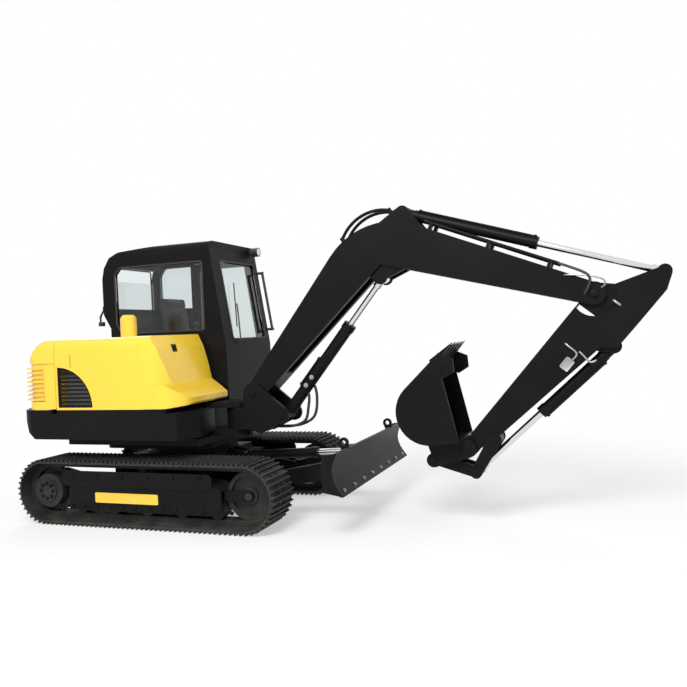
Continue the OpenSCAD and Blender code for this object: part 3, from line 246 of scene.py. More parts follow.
def edge_wear_group():
    """A mask along sharp edges, broken up into patches."""
    edge_gain, patch_scale, patch_start, patch_gain = 5.0, 34, 0.36, 5.0
    group, given, result = new_group("edge_wear", [("Width", "NodeSocketFloat", 0.006),
                                                   ("Amount", "NodeSocketFloat", 0.5)], [("Mask", "NodeSocketFloat")])
    rounded = group.nodes.new("ShaderNodeBevel")
    rounded.samples = 6
    group.links.new(given.outputs["Width"], rounded.inputs["Radius"])
    flat = group.nodes.new("ShaderNodeNewGeometry")
    across = group.nodes.new("ShaderNodeVectorMath")
    across.operation = "DOT_PRODUCT"
    group.links.new(rounded.outputs[0], across.inputs[0])
    group.links.new(flat.outputs["Normal"], across.inputs[1])
    edge = maths(group, "SUBTRACT", 1.0, across.outputs["Value"], clamp=True)
    edge = maths(group, "MULTIPLY", edge, edge_gain, clamp=True)
    patch = maths(group, "SUBTRACT", noise(group, patch_scale, 6), patch_start, clamp=True)
    patch = maths(group, "MULTIPLY", patch, patch_gain, clamp=True)
    mask = maths(group, "MULTIPLY", maths(group, "MULTIPLY", edge, patch), given.outputs["Amount"], clamp=True)
    group.links.new(mask, result.inputs["Mask"])
    return group


def surface_grain_group():
    """A fine height for bumps, and wide soft blotches."""
    blotch_scale = 2.3
    group, given, result = new_group("surface_grain", [("Scale", "NodeSocketFloat", 300.0)],
                                     [("Height", "NodeSocketFloat"), ("Blotch", "NodeSocketFloat")])
    group.links.new(noise(group, given.outputs["Scale"], 2), result.inputs["Height"])
    group.links.new(noise(group, blotch_scale, 5), result.inputs["Blotch"])
    return group


def settled_dust_group():
    """A mask that is strong low down and on what faces up, broken up into patches."""
    low_share, up_share = 0.7, 0.6
    patch_scale, patch_start, patch_gain = 7, 0.3, 2.4
    group, given, result = new_group("settled_dust", [("Amount", "NodeSocketFloat", 0.4),
                                                      ("Reach", "NodeSocketFloat", 1.2)], [("Mask", "NodeSocketFloat")])
    place = group.nodes.new("ShaderNodeSeparateXYZ")
    group.links.new(group.nodes.new("ShaderNodeTexCoord").outputs["Object"], place.inputs[0])
    low = maths(group, "SUBTRACT", 1.0, maths(group, "DIVIDE", place.outputs["Z"], given.outputs["Reach"]), clamp=True)
    looks = group.nodes.new("ShaderNodeSeparateXYZ")
    group.links.new(group.nodes.new("ShaderNodeNewGeometry").outputs["Normal"], looks.inputs[0])
    up = maths(group, "MULTIPLY", maths(group, "MAXIMUM", looks.outputs["Z"], 0.0), up_share)
    cover = maths(group, "ADD", maths(group, "MULTIPLY", low, low_share), up)
    patch = maths(group, "SUBTRACT", noise(group, patch_scale, 8), patch_start, clamp=True)
    patch = maths(group, "MULTIPLY", patch, patch_gain, clamp=True)
    mask = maths(group, "MULTIPLY", maths(group, "MULTIPLY", cover, patch), given.outputs["Amount"], clamp=True)
    group.links.new(mask, result.inputs["Mask"])
    return group


edge_wear = edge_wear_group()
surface_grain = surface_grain_group()
settled_dust = settled_dust_group()
print("groups:", edge_wear.name, surface_grain.name, settled_dust.name)

# %% [markdown]
# ## Finishes
# Nearly all of the machine is satin black paint. The covers are a warm yellow gloss, the tracks are worn steel, the
# cylinder rods chrome, and the cab has grey-tinted glass. One function lays a base colour, varies it in soft
# blotches, rubs it through at the edges and dusts it. Each finish then sets its own numbers. Glass and cloth are made
# apart.

# %% Finishes
dust_colour, dust_rough = (0.36, 0.32, 0.27), 0.5
coat_rough = 0.12


def place_group(tree, group, **values):
    node = tree.nodes.new("ShaderNodeGroup")
    node.node_tree = group
    for label, value in values.items():
        node.inputs[label].default_value = value
    return node


def mix_colour(tree, factor, a, b):
    node = tree.nodes.new("ShaderNodeMix")
    node.data_type = "RGBA"
    for socket, value in ((node.inputs[0], factor), (node.inputs[6], a), (node.inputs[7], b)):
        feed(tree, socket, value)
    return node.outputs[2]


def new_material(name):
    material = bpy.data.materials.new(name)
    material.use_nodes = True
    return material, material.node_tree, material.node_tree.nodes["Principled BSDF"]


def add_relief(tree, shader, height, strength, distance):
    relief = tree.nodes.new("ShaderNodeBump")
    relief.inputs["Strength"].default_value = strength
    relief.inputs["Distance"].default_value = distance
    tree.links.new(height, relief.inputs["Height"])
    tree.links.new(relief.outputs[0], shader.inputs["Normal"])


def worn_finish(name, colour, second, rough, dust, metal=0.0, coat=0.0, wear=0.4, wear_width=0.006,
                bare=(0.32, 0.31, 0.3), reach=1.2, grain=300.0, bump=0.04, rough_span=0.12, shine=0.5):
    """Two colours in blotches, with rubbed edges and with dust up to the height of reach."""
    material, tree, shader = new_material(name)
    shader.inputs["Metallic"].default_value = metal
    shader.inputs["Coat Weight"].default_value = coat
    shader.inputs["Coat Roughness"].default_value = coat_rough
    shader.inputs["Specular IOR Level"].default_value = shine
    skin = place_group(tree, surface_grain, Scale=grain)
    rub = place_group(tree, edge_wear, Width=wear_width, Amount=wear)
    film = place_group(tree, settled_dust, Amount=dust, Reach=reach)
    paint = mix_colour(tree, skin.outputs["Blotch"], colour, second)
    paint = mix_colour(tree, rub.outputs["Mask"], paint, bare)
    paint = mix_colour(tree, film.outputs["Mask"], paint, dust_colour)
    tree.links.new(paint, shader.inputs["Base Color"])
    gloss = maths(tree, "ADD", rough - rough_span / 2, maths(tree, "MULTIPLY", skin.outputs["Blotch"], rough_span))
    gloss = maths(tree, "ADD", gloss, maths(tree, "MULTIPLY", film.outputs["Mask"], dust_rough), clamp=True)
    tree.links.new(gloss, shader.inputs["Roughness"])
    add_relief(tree, shader, skin.outputs["Height"], strength=bump, distance=0.002)
    return material


def cab_pane_finish():
    """Grey glass with a film of dust that also dulls it."""
    material, tree, shader = new_material("cab_glass")
    shader.inputs["Transmission Weight"].default_value = 1.0
    shader.inputs["IOR"].default_value = 1.35
    film = place_group(tree, settled_dust, Amount=0.12, Reach=3.0)
    tint = mix_colour(tree, film.outputs["Mask"], (0.80, 0.84, 0.84), (0.7, 0.7, 0.68))
    tree.links.new(tint, shader.inputs["Base Color"])
    smear = maths(tree, "MULTIPLY", film.outputs["Mask"], 0.25)
    tree.links.new(maths(tree, "ADD", smear, 0.02), shader.inputs["Roughness"])
    return material


def seat_cloth_finish():
    """Woven cloth: two sets of fine threads, crossed."""
    thread_scale = 260
    material, tree, shader = new_material("seat_cloth")
    shader.inputs["Roughness"].default_value = 0.9
    shader.inputs["Sheen Weight"].default_value = 0.3
    where = tree.nodes.new("ShaderNodeTexCoord")
    threads = []
    for direction in ("X", "Y"):
        thread = tree.nodes.new("ShaderNodeTexWave")
        thread.bands_direction = direction
        thread.inputs["Scale"].default_value = thread_scale
        tree.links.new(where.outputs["Object"], thread.inputs["Vector"])
        threads.append(thread.outputs["Fac"])
    weave = maths(tree, "MULTIPLY", threads[0], threads[1])
    cloth = mix_colour(tree, weave, (0.018, 0.018, 0.02), (0.05, 0.05, 0.055))
    tree.links.new(cloth, shader.inputs["Base Color"])
    add_relief(tree, shader, weave, strength=0.3, distance=0.001)
    return material


paints = {
    "black_paint": dict(colour=(0.004, 0.004, 0.0045), second=(0.009, 0.009, 0.0095), rough=0.38, dust=0.015, wear=0.14,
                        bare=(0.07, 0.07, 0.07), shine=0.08),
    "yellow_paint": dict(colour=(0.9, 0.6, 0.04), second=(0.86, 0.55, 0.035), rough=0.3, dust=0.05, coat=0.4, wear=0.12,
                         wear_width=0.004, bump=0.02),
    "track_steel": dict(colour=(0.012, 0.0118, 0.0115), second=(0.028, 0.027, 0.026), rough=0.58, dust=0.12, metal=0.2,
                        wear_width=0.008, bare=(0.16, 0.155, 0.15), reach=0.9, grain=90, bump=0.25, rough_span=0.3,
                        shine=0.25),
    "rod_chrome": dict(colour=(0.72, 0.73, 0.75), second=(0.66, 0.67, 0.69), rough=0.12, dust=0.0, metal=1.0, wear=0.0,
                       grain=600, bump=0.01, rough_span=0.06),
    "bare_steel": dict(colour=(0.32, 0.32, 0.33), second=(0.42, 0.42, 0.43), rough=0.4, dust=0.2, metal=0.9, grain=200),
    "dark_plastic": dict(colour=(0.012, 0.012, 0.0125), second=(0.02, 0.02, 0.021), rough=0.55, dust=0.05, wear=0.1,
                         grain=700, bump=0.12),
    "engine_grey": dict(colour=(0.12, 0.125, 0.13), second=(0.18, 0.185, 0.19), rough=0.55, dust=0.3, metal=0.3,
                        grain=150, bump=0.2),
    "lamp_grey": dict(colour=(0.02, 0.02, 0.021), second=(0.035, 0.035, 0.036), rough=0.35, dust=0.08, wear=0.1,
                      grain=400),
    "lamp_glass": dict(colour=(0.75, 0.76, 0.74), second=(0.82, 0.83, 0.81), rough=0.15, dust=0.04, coat=0.6, wear=0.0,
                       grain=220, bump=0.06),
}
finish = {name: worn_finish(name, **values) for name, values in paints.items()}
finish["cab_glass"] = cab_pane_finish()
finish["seat_cloth"] = seat_cloth_finish()
for entry in frame["record"]["subparts"]:
    solid = nodes[entry["node"]]
    solid.data.materials.clear()
    solid.data.materials.append(finish[entry["material_slot"]])
print("finishes:", sorted(finish))

# %% [markdown]
# ## Tools for modelling
# Small pieces are modelled as by hand: a primitive is added, shaped in edit mode and then set in place. These helpers
# do the repeated steps: start with nothing selected, pick faces by where they point, and finish a piece with its
# material, its body and its place in the mesh.


def start_clean():
    """Object mode, with nothing selected."""
    if bpy.context.object and bpy.context.object.mode != "OBJECT":
        bpy.ops.object.mode_set(mode="OBJECT")
    bpy.ops.object.select_all(action="DESELECT")


def only(piece):
    start_clean()
    piece.select_set(True)
    bpy.context.view_layer.objects.active = piece


def pick_faces(piece, test):
    """Selects the faces whose middle and normal pass the test, and enters edit mode on them."""
    only(piece)
    bpy.ops.object.mode_set(mode="EDIT")
    bpy.ops.mesh.select_mode(type="FACE")
    bpy.ops.mesh.select_all(action="DESELECT")
    bpy.ops.object.mode_set(mode="OBJECT")
    for face in piece.data.polygons:
        face.select = test(face.center, face.normal)
    bpy.ops.object.mode_set(mode="EDIT")


def settle(piece, name, finish_name, body, angle=35):
    """Last steps of a piece: its place goes into its mesh, then its finish and the body it moves with."""
    only(piece)
    piece.name = name
    bpy.ops.object.transform_apply(location=True, rotation=True, scale=True)
    bpy.ops.object.shade_smooth_by_angle(angle=math.radians(angle))
    piece.data.materials.clear()
    piece.data.materials.append(finish[finish_name])
    if body:
        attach(piece, body)
    return piece


def spread(model, places):
    """Copies of a model, each with its own mesh, joined into one piece."""
    copies = []
    for place in places:
        twin = model.copy()
        twin.data = model.data.copy()
        twin.matrix_world = place
        scene.collection.objects.link(twin)
        copies.append(twin)
    start_clean()
    for twin in copies:
        twin.select_set(True)
    bpy.context.view_layer.objects.active = copies[0]
    if len(copies) > 1:
        bpy.ops.object.join()
    return bpy.context.object


def drop(model):
    bpy.data.objects.remove(model, do_unlink=True)


def facing(place, direction, spin=0.0):
    """A matrix that stands a model's +Z along a direction at a place."""
    turn_to = Vector(direction).to_track_quat("Z", "Y").to_matrix().to_4x4()
    return Matrix.Translation(place) @ turn_to @ Matrix.Rotation(spin, 4, "Z")

# %% [markdown]
# ## Bolts
# Hexagon bolts hold the track shoes, hub covers, track frames, shields and cutting edges. A bolt has a washer, a six-
# sided head with its top edge turned down, and a dimple. It is modelled once in each size, and all the others are
# copies.

# %% One bolt


def bolt_model(radius, height):
    """A bolt that stands on the origin and points up."""
    washer_height = height * 0.3
    start_clean()
    bpy.ops.mesh.primitive_cylinder_add(vertices=12, radius=radius * 1.35, depth=washer_height,
                                        location=(0, 0, washer_height / 2))
    washer = bpy.context.object
    start_clean()
    bpy.ops.mesh.primitive_cylinder_add(vertices=6, radius=radius, depth=height * 0.75, location=(0, 0, height * 0.62))
    head = bpy.context.object
    pick_faces(head, lambda middle, normal: normal.z > 0.9)
    bpy.ops.mesh.inset(thickness=radius * 0.16)
    bpy.ops.transform.translate(value=(0, 0, height * 0.12))
    bpy.ops.mesh.inset(thickness=radius * 0.35)
    bpy.ops.transform.translate(value=(0, 0, -height * 0.08))
    bpy.ops.object.mode_set(mode="OBJECT")
    washer.select_set(True)
    head.select_set(True)
    bpy.context.view_layer.objects.active = head
    bpy.ops.object.join()
    bpy.ops.object.transform_apply(location=True, rotation=True, scale=True)
    return bpy.context.object


shoe_bolt = bolt_model(0.011, 0.012)
frame_bolt = bolt_model(0.014, 0.014)
print("bolt faces:", len(shoe_bolt.data.polygons))

# %% [markdown]
# ## Shoe bolts
# Four bolts fasten each shoe to its chain links. The shoes follow a loop of two straight runs and two half circles,
# so a function walks along that loop and gives each bolt its place and the way the shoe faces.

# %% Shoe bolts
track_length, track_height, half_gauge = 2.6, 0.59, 0.74
shoe_total, grouser, link_half = 40, 0.022, 0.055
round_at = track_length / 2 - track_height / 2
plate_radius = track_height / 2 - grouser
straight = 2 * round_at
half_turn = math.pi * plate_radius
loop_length = 2 * straight + 2 * half_turn


def on_loop(s):
    """Place and outward direction (x, z) at a distance along the loop."""
    s = s % loop_length
    if s < straight:
        return (-round_at + s, plate_radius), (0, 1)
    if s < straight + half_turn:
        a = math.pi / 2 - (s - straight) / plate_radius
        return (round_at + plate_radius * math.cos(a), plate_radius * math.sin(a)), (math.cos(a), math.sin(a))
    if s < 2 * straight + half_turn:
        return (round_at - (s - straight - half_turn), -plate_radius), (0, -1)
    a = 1.5 * math.pi - (s - 2 * straight - half_turn) / plate_radius
    return (-round_at + plate_radius * math.cos(a), plate_radius * math.sin(a)), (math.cos(a), math.sin(a))


bolt_places = []
for shoe in range(shoe_total):
    for share in (1 / 3, 2 / 3):
        (px, pz), (nx, nz) = on_loop((shoe + share) * loop_length / shoe_total)
        for side in (-1, 1):
            for out in (-link_half, link_half):
                bolt_places.append(facing(at(px, side * half_gauge + out, pz + track_height / 2), (nx, 0, nz)))
settle(spread(shoe_bolt, bolt_places), "shoe_bolts", "track_steel", "undercarriage")
drop(shoe_bolt)
print("shoe bolts:", len(bolt_places))

# %% [markdown]
# ## Hub and frame bolts
# A ring of bolts closes each final drive. A row along the foot of each track frame holds the roller shafts, and a
# shorter row above it holds the shield that is made further down. All of them face outwards on their side of the
# machine.

# %% Hub and frame bolts
drive_low, drive_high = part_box("sprockets")
frame_side = -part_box("track_frame_right")[0][1]
drive_x = (drive_low[0] + drive_high[0]) / 2
drive_y = drive_high[1] - 0.002
drive_z = (drive_low[2] + drive_high[2]) / 2
hub_radius, hub_count = 0.068, 8
roller_bolt_y = frame_side - 0.006
shield_y = 0.871
shield_bolt_y = shield_y + 0.003


def bolt_row(count, first_x, step, y, z, spin):
    """A row of bolts along a side of the machine, each turned a little further than the last."""
    return [facing(at(first_x + k * step, y, z), (0, math.copysign(1, y), 0), spin * k) for k in range(count)]


hub_places = []
for side in (-1, 1):
    for k in range(hub_count):
        a = 2 * math.pi * k / hub_count
        place = Vector((drive_x + hub_radius * math.cos(a), side * drive_y, drive_z + hub_radius * math.sin(a)))
        hub_places.append(facing(place, (0, side, 0), a))
    hub_places += bolt_row(14, -0.88, 0.135, side * roller_bolt_y, 0.166, spin=0.3)
    hub_places += bolt_row(6, -0.72, 0.26, side * shield_bolt_y, 0.44, spin=0.2)
settle(spread(frame_bolt, hub_places), "frame_bolts", "black_paint", "undercarriage")
drop(frame_bolt)
print("frame bolts:", len(hub_places))

# %% [markdown]
# ## Bolts on bucket and blade
# The side cutters are bolted to the bucket's cheeks, and the cutting edge to the foot of the blade. The bucket's
# points are given from its pin in its own plane. The blade's face is curved, so the bolts lean back with it.

# %% Bucket and blade bolts


def in_plane(pin, angle, u, v):
    """x and z of a point that is given along a part from its pin, and across it."""
    return pin.x + u * math.cos(angle) - v * math.sin(angle), pin.z + u * math.sin(angle) + v * math.cos(angle)


bucket_angle = math.radians(94)
cheeks = ((-1, -0.525), (1, 0.125))
sunk = 0.002
edge_bolt = bolt_model(0.013, 0.012)
cutter_places = []
for u, v in ((0.65, 0.05), (0.645, 0.11), (0.7, 0.075)):
    x, z = in_plane(joint_at["bucket"], bucket_angle, u, v)
    for side, y in cheeks:
        cutter_places.append(facing(Vector((x, y - side * sunk, z)), (0, side, 0), 0.4))
settle(spread(edge_bolt, cutter_places), "cutter_bolts", "black_paint", "bucket")
blade_lean = (0.807, 0, 0.591)
first_y, step_y, edge_count = -0.84, 0.24, 8
edge_places = [facing(at(1.868, first_y + step_y * k, 0.383), blade_lean, 0.2 * k) for k in range(edge_count)]
settle(spread(edge_bolt, edge_places), "blade_bolts", "bare_steel", "blade")
drop(edge_bolt)
print("edge bolts:", len(cutter_places) + len(edge_places))

# %% [markdown]
# ## Plates on the track frames
# A narrow yellow plate sits on each track frame. It is left blank. The plate starts as a cube, is stretched, and its
# upright edges are rounded with a bevel in edit mode.

# %% Track frame plates


def flat_plate(size, rounding, thick_axis):
    """A thin plate with rounded corners, its thickness along one axis."""
    start_clean()
    bpy.ops.mesh.primitive_cube_add(size=1)
    plate = bpy.context.object
    plate.scale = size
    bpy.ops.object.transform_apply(location=False, rotation=False, scale=True)
    bpy.ops.object.mode_set(mode="EDIT")
    bpy.ops.mesh.select_mode(type="EDGE")
    bpy.ops.mesh.select_all(action="DESELECT")
    bpy.ops.object.mode_set(mode="OBJECT")
    for edge in plate.data.edges:
        a, b = (plate.data.vertices[v].co for v in edge.vertices)
        edge.select = abs((a - b)[thick_axis]) > 1e-6
    bpy.ops.object.mode_set(mode="EDIT")
    bpy.ops.mesh.bevel(offset=rounding, segments=4, affect="EDGES")
    bpy.ops.object.mode_set(mode="OBJECT")
    return plate


def border(plate, normal, width, depth):
    """Presses a border round the face that looks along the normal."""
    pick_faces(plate, lambda middle, facing_to: facing_to.dot(Vector(normal)) > 0.9)
    bpy.ops.mesh.inset(thickness=width)
    bpy.ops.transform.translate(value=Vector(normal) * -depth)
    bpy.ops.object.mode_set(mode="OBJECT")


sides = ((-1, "right"), (1, "left"))
plate_y = frame_side + 0.0015
for side, name in sides:
    plate = flat_plate((0.655, 0.006, 0.089), rounding=0.012, thick_axis=1)
    border(plate, (0, side, 0), width=0.006, depth=0.0015)
    plate.location = at(-0.162, side * plate_y, 0.25)
    settle(plate, "frame_plate_" + name, "yellow_paint", "undercarriage")
print("track frame plates made")

# %% [markdown]
# ## Shields
# A plate stands on each track frame's outer edge and closes most of the gap under the upper run of the track. Below
# the upper structure a low skirt goes round the slew ring: a rounded block that loses its top and bottom faces, and
# gets its thickness from a solidify modifier.

# %% Shields
for side, name in sides:
    shield = flat_plate((1.54, 0.012, 0.137), rounding=0.05, thick_axis=1)
    border(shield, (0, side, 0), width=0.012, depth=0.002)
    shield.location = at(-0.07, side * shield_y, 0.4135)
    settle(shield, "track_shield_" + name, "black_paint", "undercarriage")
skirt = flat_plate((1.11, 1.0, 0.067), rounding=0.1, thick_axis=2)
pick_faces(skirt, lambda middle, normal: abs(normal.z) > 0.9)
bpy.ops.mesh.delete(type="FACE")
bpy.ops.object.mode_set(mode="OBJECT")
wall = skirt.modifiers.new("wall", "SOLIDIFY")
wall.thickness = 0.012
bpy.ops.object.modifier_apply(modifier=wall.name)
skirt.location = at(-0.105, 0, 0.6615)
settle(skirt, "belly_skirt", "black_paint", "upper")
print("shields made")

# %% [markdown]
# ## Rubber seals
# Each window sits in a black rubber seal. A seal is a closed curve round the opening, thickened by the curve's bevel
# and then turned into a mesh.

# %% Window seals


def bead(name, points, radius, finish_name, body, closed=False, smooth=False):
    """A round bead along points given in metres from the slew axis."""
    line = bpy.data.curves.new(name, "CURVE")
    line.dimensions = "3D"
    line.bevel_depth = radius
    line.bevel_resolution = 3
    line.use_fill_caps = True
    spline = line.splines.new("NURBS" if smooth else "POLY")
    spline.points.add(len(points) - 1)
    for knot, p in zip(spline.points, points):
        knot.co = (*at(*p), 1)
    spline.use_cyclic_u = closed
    if smooth:
        spline.order_u = 4
        spline.use_endpoint_u = True
        spline.resolution_u = 6
    piece = bpy.data.objects.new(name, line)
    scene.collection.objects.link(piece)
    only(piece)
    bpy.ops.object.convert(target="MESH")
    return settle(bpy.context.object, name, finish_name, body)


def rounded(corners, radius, steps=4):
    """Corner points replaced by short arcs, so that the seal turns smoothly."""
    out = []
    for i, here in enumerate(corners):
        before = Vector(corners[i - 1]) - Vector(here)
        after = Vector(corners[(i + 1) % len(corners)]) - Vector(here)
        a = Vector(here) + before.normalized() * radius
        b = Vector(here) + after.normalized() * radius
        for k in range(steps + 1):
            t = k / steps
            out.append(tuple((1 - t) ** 2 * a + 2 * t * (1 - t) * Vector(here) + t ** 2 * b))
    return out


wall_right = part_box("cab_right_wall")[0][1]
wall_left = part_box("cab_floor")[1][1]
wall_rear = -0.95
screen_foot, screen_top = (0.4287, 1.605), (0.3128, 2.375)
right_pane = ((-0.795, 1.79), (-0.725, 1.7), (0.212, 1.7), (0.212, 2.365), (-0.735, 2.365), (-0.795, 2.295))
left_pane = ((-0.888, 1.96), (-0.475, 1.96), (-0.475, 2.43), (-0.828, 2.43), (-0.888, 2.34))
door_pane = ((-0.37, 1.42), (0.317, 1.42), (0.1825, 2.385), (-0.37, 2.385))
screen_pane = ((0.113, screen_foot), (0.83, screen_foot), (0.83, screen_top), (0.113, screen_top))
rear_pane = ((0.065, 1.96), (0.79, 1.96), (0.79, 2.39), (0.065, 2.39))
seals = {
    "seal_right": ("upper", [(x, wall_right, z) for x, z in right_pane]),
    "seal_left": ("upper", [(x, wall_left, z) for x, z in left_pane]),
    "seal_door": ("door", [(x, wall_left, z) for x, z in door_pane]),
    "seal_screen": ("upper", [(x, y, z) for y, (x, z) in screen_pane]),
    "seal_rear": ("upper", [(wall_rear, y, z) for y, z in rear_pane]),
}
seal_radius, seal_turn = 0.008, 0.03
for name, (body, corners) in seals.items():
    bead(name, rounded(corners, seal_turn), seal_radius, "dark_plastic", body, closed=True)
print("seals:", len(seals))

# %% [markdown]
# ## Wiper
# The wiper parks across the windscreen: a short spindle, a bent arm and a rubber blade, all just in front of the
# glass.

# %% Wiper


def screen_point(y, z, off):
    """A point on the windscreen's plane, moved out from it."""
    slope = (screen_top[0] - screen_foot[0]) / (screen_top[1] - screen_foot[1])
    outward = Vector((1, 0, -slope)).normalized() * off
    return (screen_foot[0] + slope * (z - screen_foot[1]) + outward.x, y, z + outward.z)


bead("wiper_arm", [screen_point(0.2, 1.56, 0.004), screen_point(0.2, 1.58, 0.03), screen_point(0.24, 1.8, 0.03),
                   screen_point(0.27, 1.95, 0.022)], 0.007, "dark_plastic", "upper")
bead("wiper_blade", [screen_point(0.21, 1.72, 0.012), screen_point(0.24, 1.9, 0.016), screen_point(0.3, 2.16, 0.012)],
     0.006, "dark_plastic", "upper")
print("wiper made")

# %% [markdown]
# ## Lamp lens and exhaust mouth
# Two turned pieces: the work lamp's pale lens and the dark mouth of the exhaust. Each profile is spun round an axis
# in edit mode, as on a lathe, and its normals are recalculated afterwards.

# %% Lens and exhaust mouth


def lathe(profile, steps=32):
    """A profile of (radius, height) spun round the Z axis."""
    mesh = bpy.data.meshes.new("turned")
    mesh.from_pydata([(r, 0, h) for r, h in profile], [(i, i + 1) for i in range(len(profile) - 1)], [])
    piece = bpy.data.objects.new("turned", mesh)
    scene.collection.objects.link(piece)
    only(piece)
    bpy.ops.object.mode_set(mode="EDIT")
    bpy.ops.mesh.select_all(action="SELECT")
    bpy.ops.mesh.spin(steps=steps, angle=2 * math.pi, center=(0, 0, 0), axis=(0, 0, 1))
    bpy.ops.mesh.select_all(action="SELECT")
    bpy.ops.mesh.remove_doubles(threshold=1e-5)
    bpy.ops.mesh.normals_make_consistent(inside=False)
    bpy.ops.object.mode_set(mode="OBJECT")
    return piece


lamp_low, lamp_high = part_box("work_lamp")
lens_place = Vector((lamp_high[0], (lamp_low[1] + lamp_high[1]) / 2, (lamp_low[2] + lamp_high[2]) / 2))
lens = lathe([(0.0, 0.006), (0.02, 0.0055), (0.034, 0.003), (0.038, 0.0), (0.038, -0.004), (0.0, -0.004)])
lens.matrix_world = facing(lens_place, (1, 0, 0))
settle(lens, "lamp_lens", "lamp_glass", "upper")
pipe_low, pipe_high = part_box("exhaust")
pipe_middle = Vector(((pipe_low[0] + pipe_high[0]) / 2, (pipe_low[1] + pipe_high[1]) / 2, pipe_high[2]))
mouth = lathe([(0.0, 0.0008), (0.040, 0.0008), (0.0415, 0.007), (0.046, 0.008), (0.0495, 0.006), (0.051, 0.0),
               (0.05, -0.002), (0.0, -0.002)])
mouth.location = pipe_middle
settle(mouth, "exhaust_mouth", "dark_plastic", "upper")
print("lens and mouth made")

# %% [markdown]
# ## Cover latch
# The front of the side cover has a shallow pocket with a paddle latch in it. Both plates lie along the cover's slope,
# and stand out from it by the distances given.

# %% Cover latch
slope_out = Vector((0.962, 0, 0.272))
pocket = at(0.2061, -0.585, 1.547)
floor_out, paddle_out = 0.002, 0.0062
floor_plate = flat_plate((0.088, 0.068, 0.003), rounding=0.008, thick_axis=2)
border(floor_plate, (0, 0, 1), width=0.004, depth=0.001)
floor_plate.matrix_world = facing(pocket + slope_out * floor_out, slope_out)
settle(floor_plate, "latch_floor", "dark_plastic", "upper")
paddle = flat_plate((0.05, 0.04, 0.006), rounding=0.01, thick_axis=2)
border(paddle, (0, 0, 1), width=0.006, depth=0.002)
paddle.matrix_world = facing(pocket + slope_out * paddle_out, slope_out)
settle(paddle, "latch_paddle", "black_paint", "upper")
print("latch made")

# %% [markdown]
# ## Pin caps
# A cap with a grease nipple covers the end of each large pin. It is turned on the lathe once and copied to both ends.

# %% Pin caps
cap = lathe([(0.0, 0.016), (0.004, 0.016), (0.005, 0.012), (0.0035, 0.008), (0.006, 0.007), (0.02, 0.007),
             (0.031, 0.005), (0.034, 0.0), (0.034, -0.003), (0.0, -0.003)], steps=24)


def capped(name, body, place, low, high):
    """A cap on both ends of a pin, which are at a lower and a higher y."""
    ends = [facing(Vector((place.x, low, place.z)), (0, -1, 0)), facing(Vector((place.x, high, place.z)), (0, 1, 0))]
    settle(spread(cap, ends), name, "black_paint", body)


post_low, post_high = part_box("swing_post")
boom_low, boom_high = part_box("boom")
bucket_ends = (-0.364, -0.036)
capped("boom_foot_caps", "swing_post", joint_at["boom"], post_low[1], post_high[1])
capped("boom_cylinder_caps", "swing_post", joint_at["boom_cylinder"], post_low[1], post_high[1])
capped("arm_pin_caps", "boom", joint_at["arm"], boom_low[1], boom_high[1])
capped("bucket_pin_caps", "bucket", joint_at["bucket"], *bucket_ends)
capped("link_pin_caps", "bucket", joint_at["bucket_link"], *bucket_ends)
drop(cap)
print("pin caps made")

# %% [markdown]
# ## Pipes on the arm
# Bright steel pipes bring oil to the bucket cylinder. They leave a small valve plate on the arm's side and bend
# towards the cylinder. A point on the arm is given along the arm from its pin, and across it.

# %% Arm pipes
arm_angle = math.radians(229.7)
arm_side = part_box("arm")[0][1]
pipe_radius = 0.008


def on_arm(u, v, out):
    """A point along the arm and across it, moved out from its right side."""
    x, z = in_plane(joint_at["arm"], arm_angle, u, v)
    return (x - slew_x, arm_side - out, z)


bead("arm_pipe_upper", [on_arm(0.428, 0.07, 0.002), on_arm(0.428, 0.078, 0.014), on_arm(0.43, 0.124, 0.016),
                        on_arm(0.427, 0.17, 0.016), on_arm(0.445, 0.198, 0.016), on_arm(0.487, 0.188, 0.014),
                        on_arm(0.5, 0.186, 0.002)], pipe_radius, "bare_steel", "arm", smooth=True)
bead("arm_pipe_lower", [on_arm(0.414, 0.19, 0.002), on_arm(0.414, 0.205, 0.014), on_arm(0.42, 0.247, 0.016),
                        on_arm(0.434, 0.298, 0.016), on_arm(0.41, 0.318, 0.014), on_arm(0.389, 0.323, 0.006)],
     pipe_radius, "bare_steel", "arm", smooth=True)
valve = flat_plate((0.1, 0.012, 0.075), rounding=0.014, thick_axis=1)
border(valve, (0, -1, 0), width=0.01, depth=0.003)
valve.matrix_world = Matrix.Translation(at(*on_arm(0.545, 0.178, 0.005))) @ Matrix.Rotation(-arm_angle, 4, "Y")
settle(valve, "arm_valve_plate", "bare_steel", "arm")
print("arm pipes made")

# %% [markdown]
# ## Pipes at the boom's tip
# A hose runs on from the tube on the boom's back, and a thin pipe from its side. Both pass over the fork on the right
# and end on its cheek, outside the arm's reach. A bright elbow sits on the arm's side below them.

# %% Boom tip pipes
bead("tip_hose", [(3.495, -0.295, 2.086), (3.53, -0.302, 2.072), (3.58, -0.322, 2.05), (3.66, -0.335, 2.015),
                  (3.725, -0.342, 1.98), (3.742, -0.347, 1.935), (3.72, -0.347, 1.88), (3.7, -0.335, 1.845),
                  (3.69, -0.317, 1.83)], 0.011, "dark_plastic", "boom", smooth=True)
bead("tip_pipe", [(3.55, -0.317, 1.985), (3.57, -0.338, 1.985), (3.66, -0.342, 1.978), (3.745, -0.342, 1.966),
                  (3.83, -0.342, 1.94), (3.85, -0.34, 1.91), (3.838, -0.335, 1.885), (3.815, -0.317, 1.875)], 0.007,
     "bare_steel", "boom", smooth=True)
bead("arm_elbow", [(3.895, -0.298, 1.772), (3.9, -0.316, 1.768), (3.922, -0.32, 1.75), (3.94, -0.316, 1.736),
                   (3.944, -0.298, 1.732)], 0.011, "bare_steel", "arm", smooth=True)
print("tip pipes made")
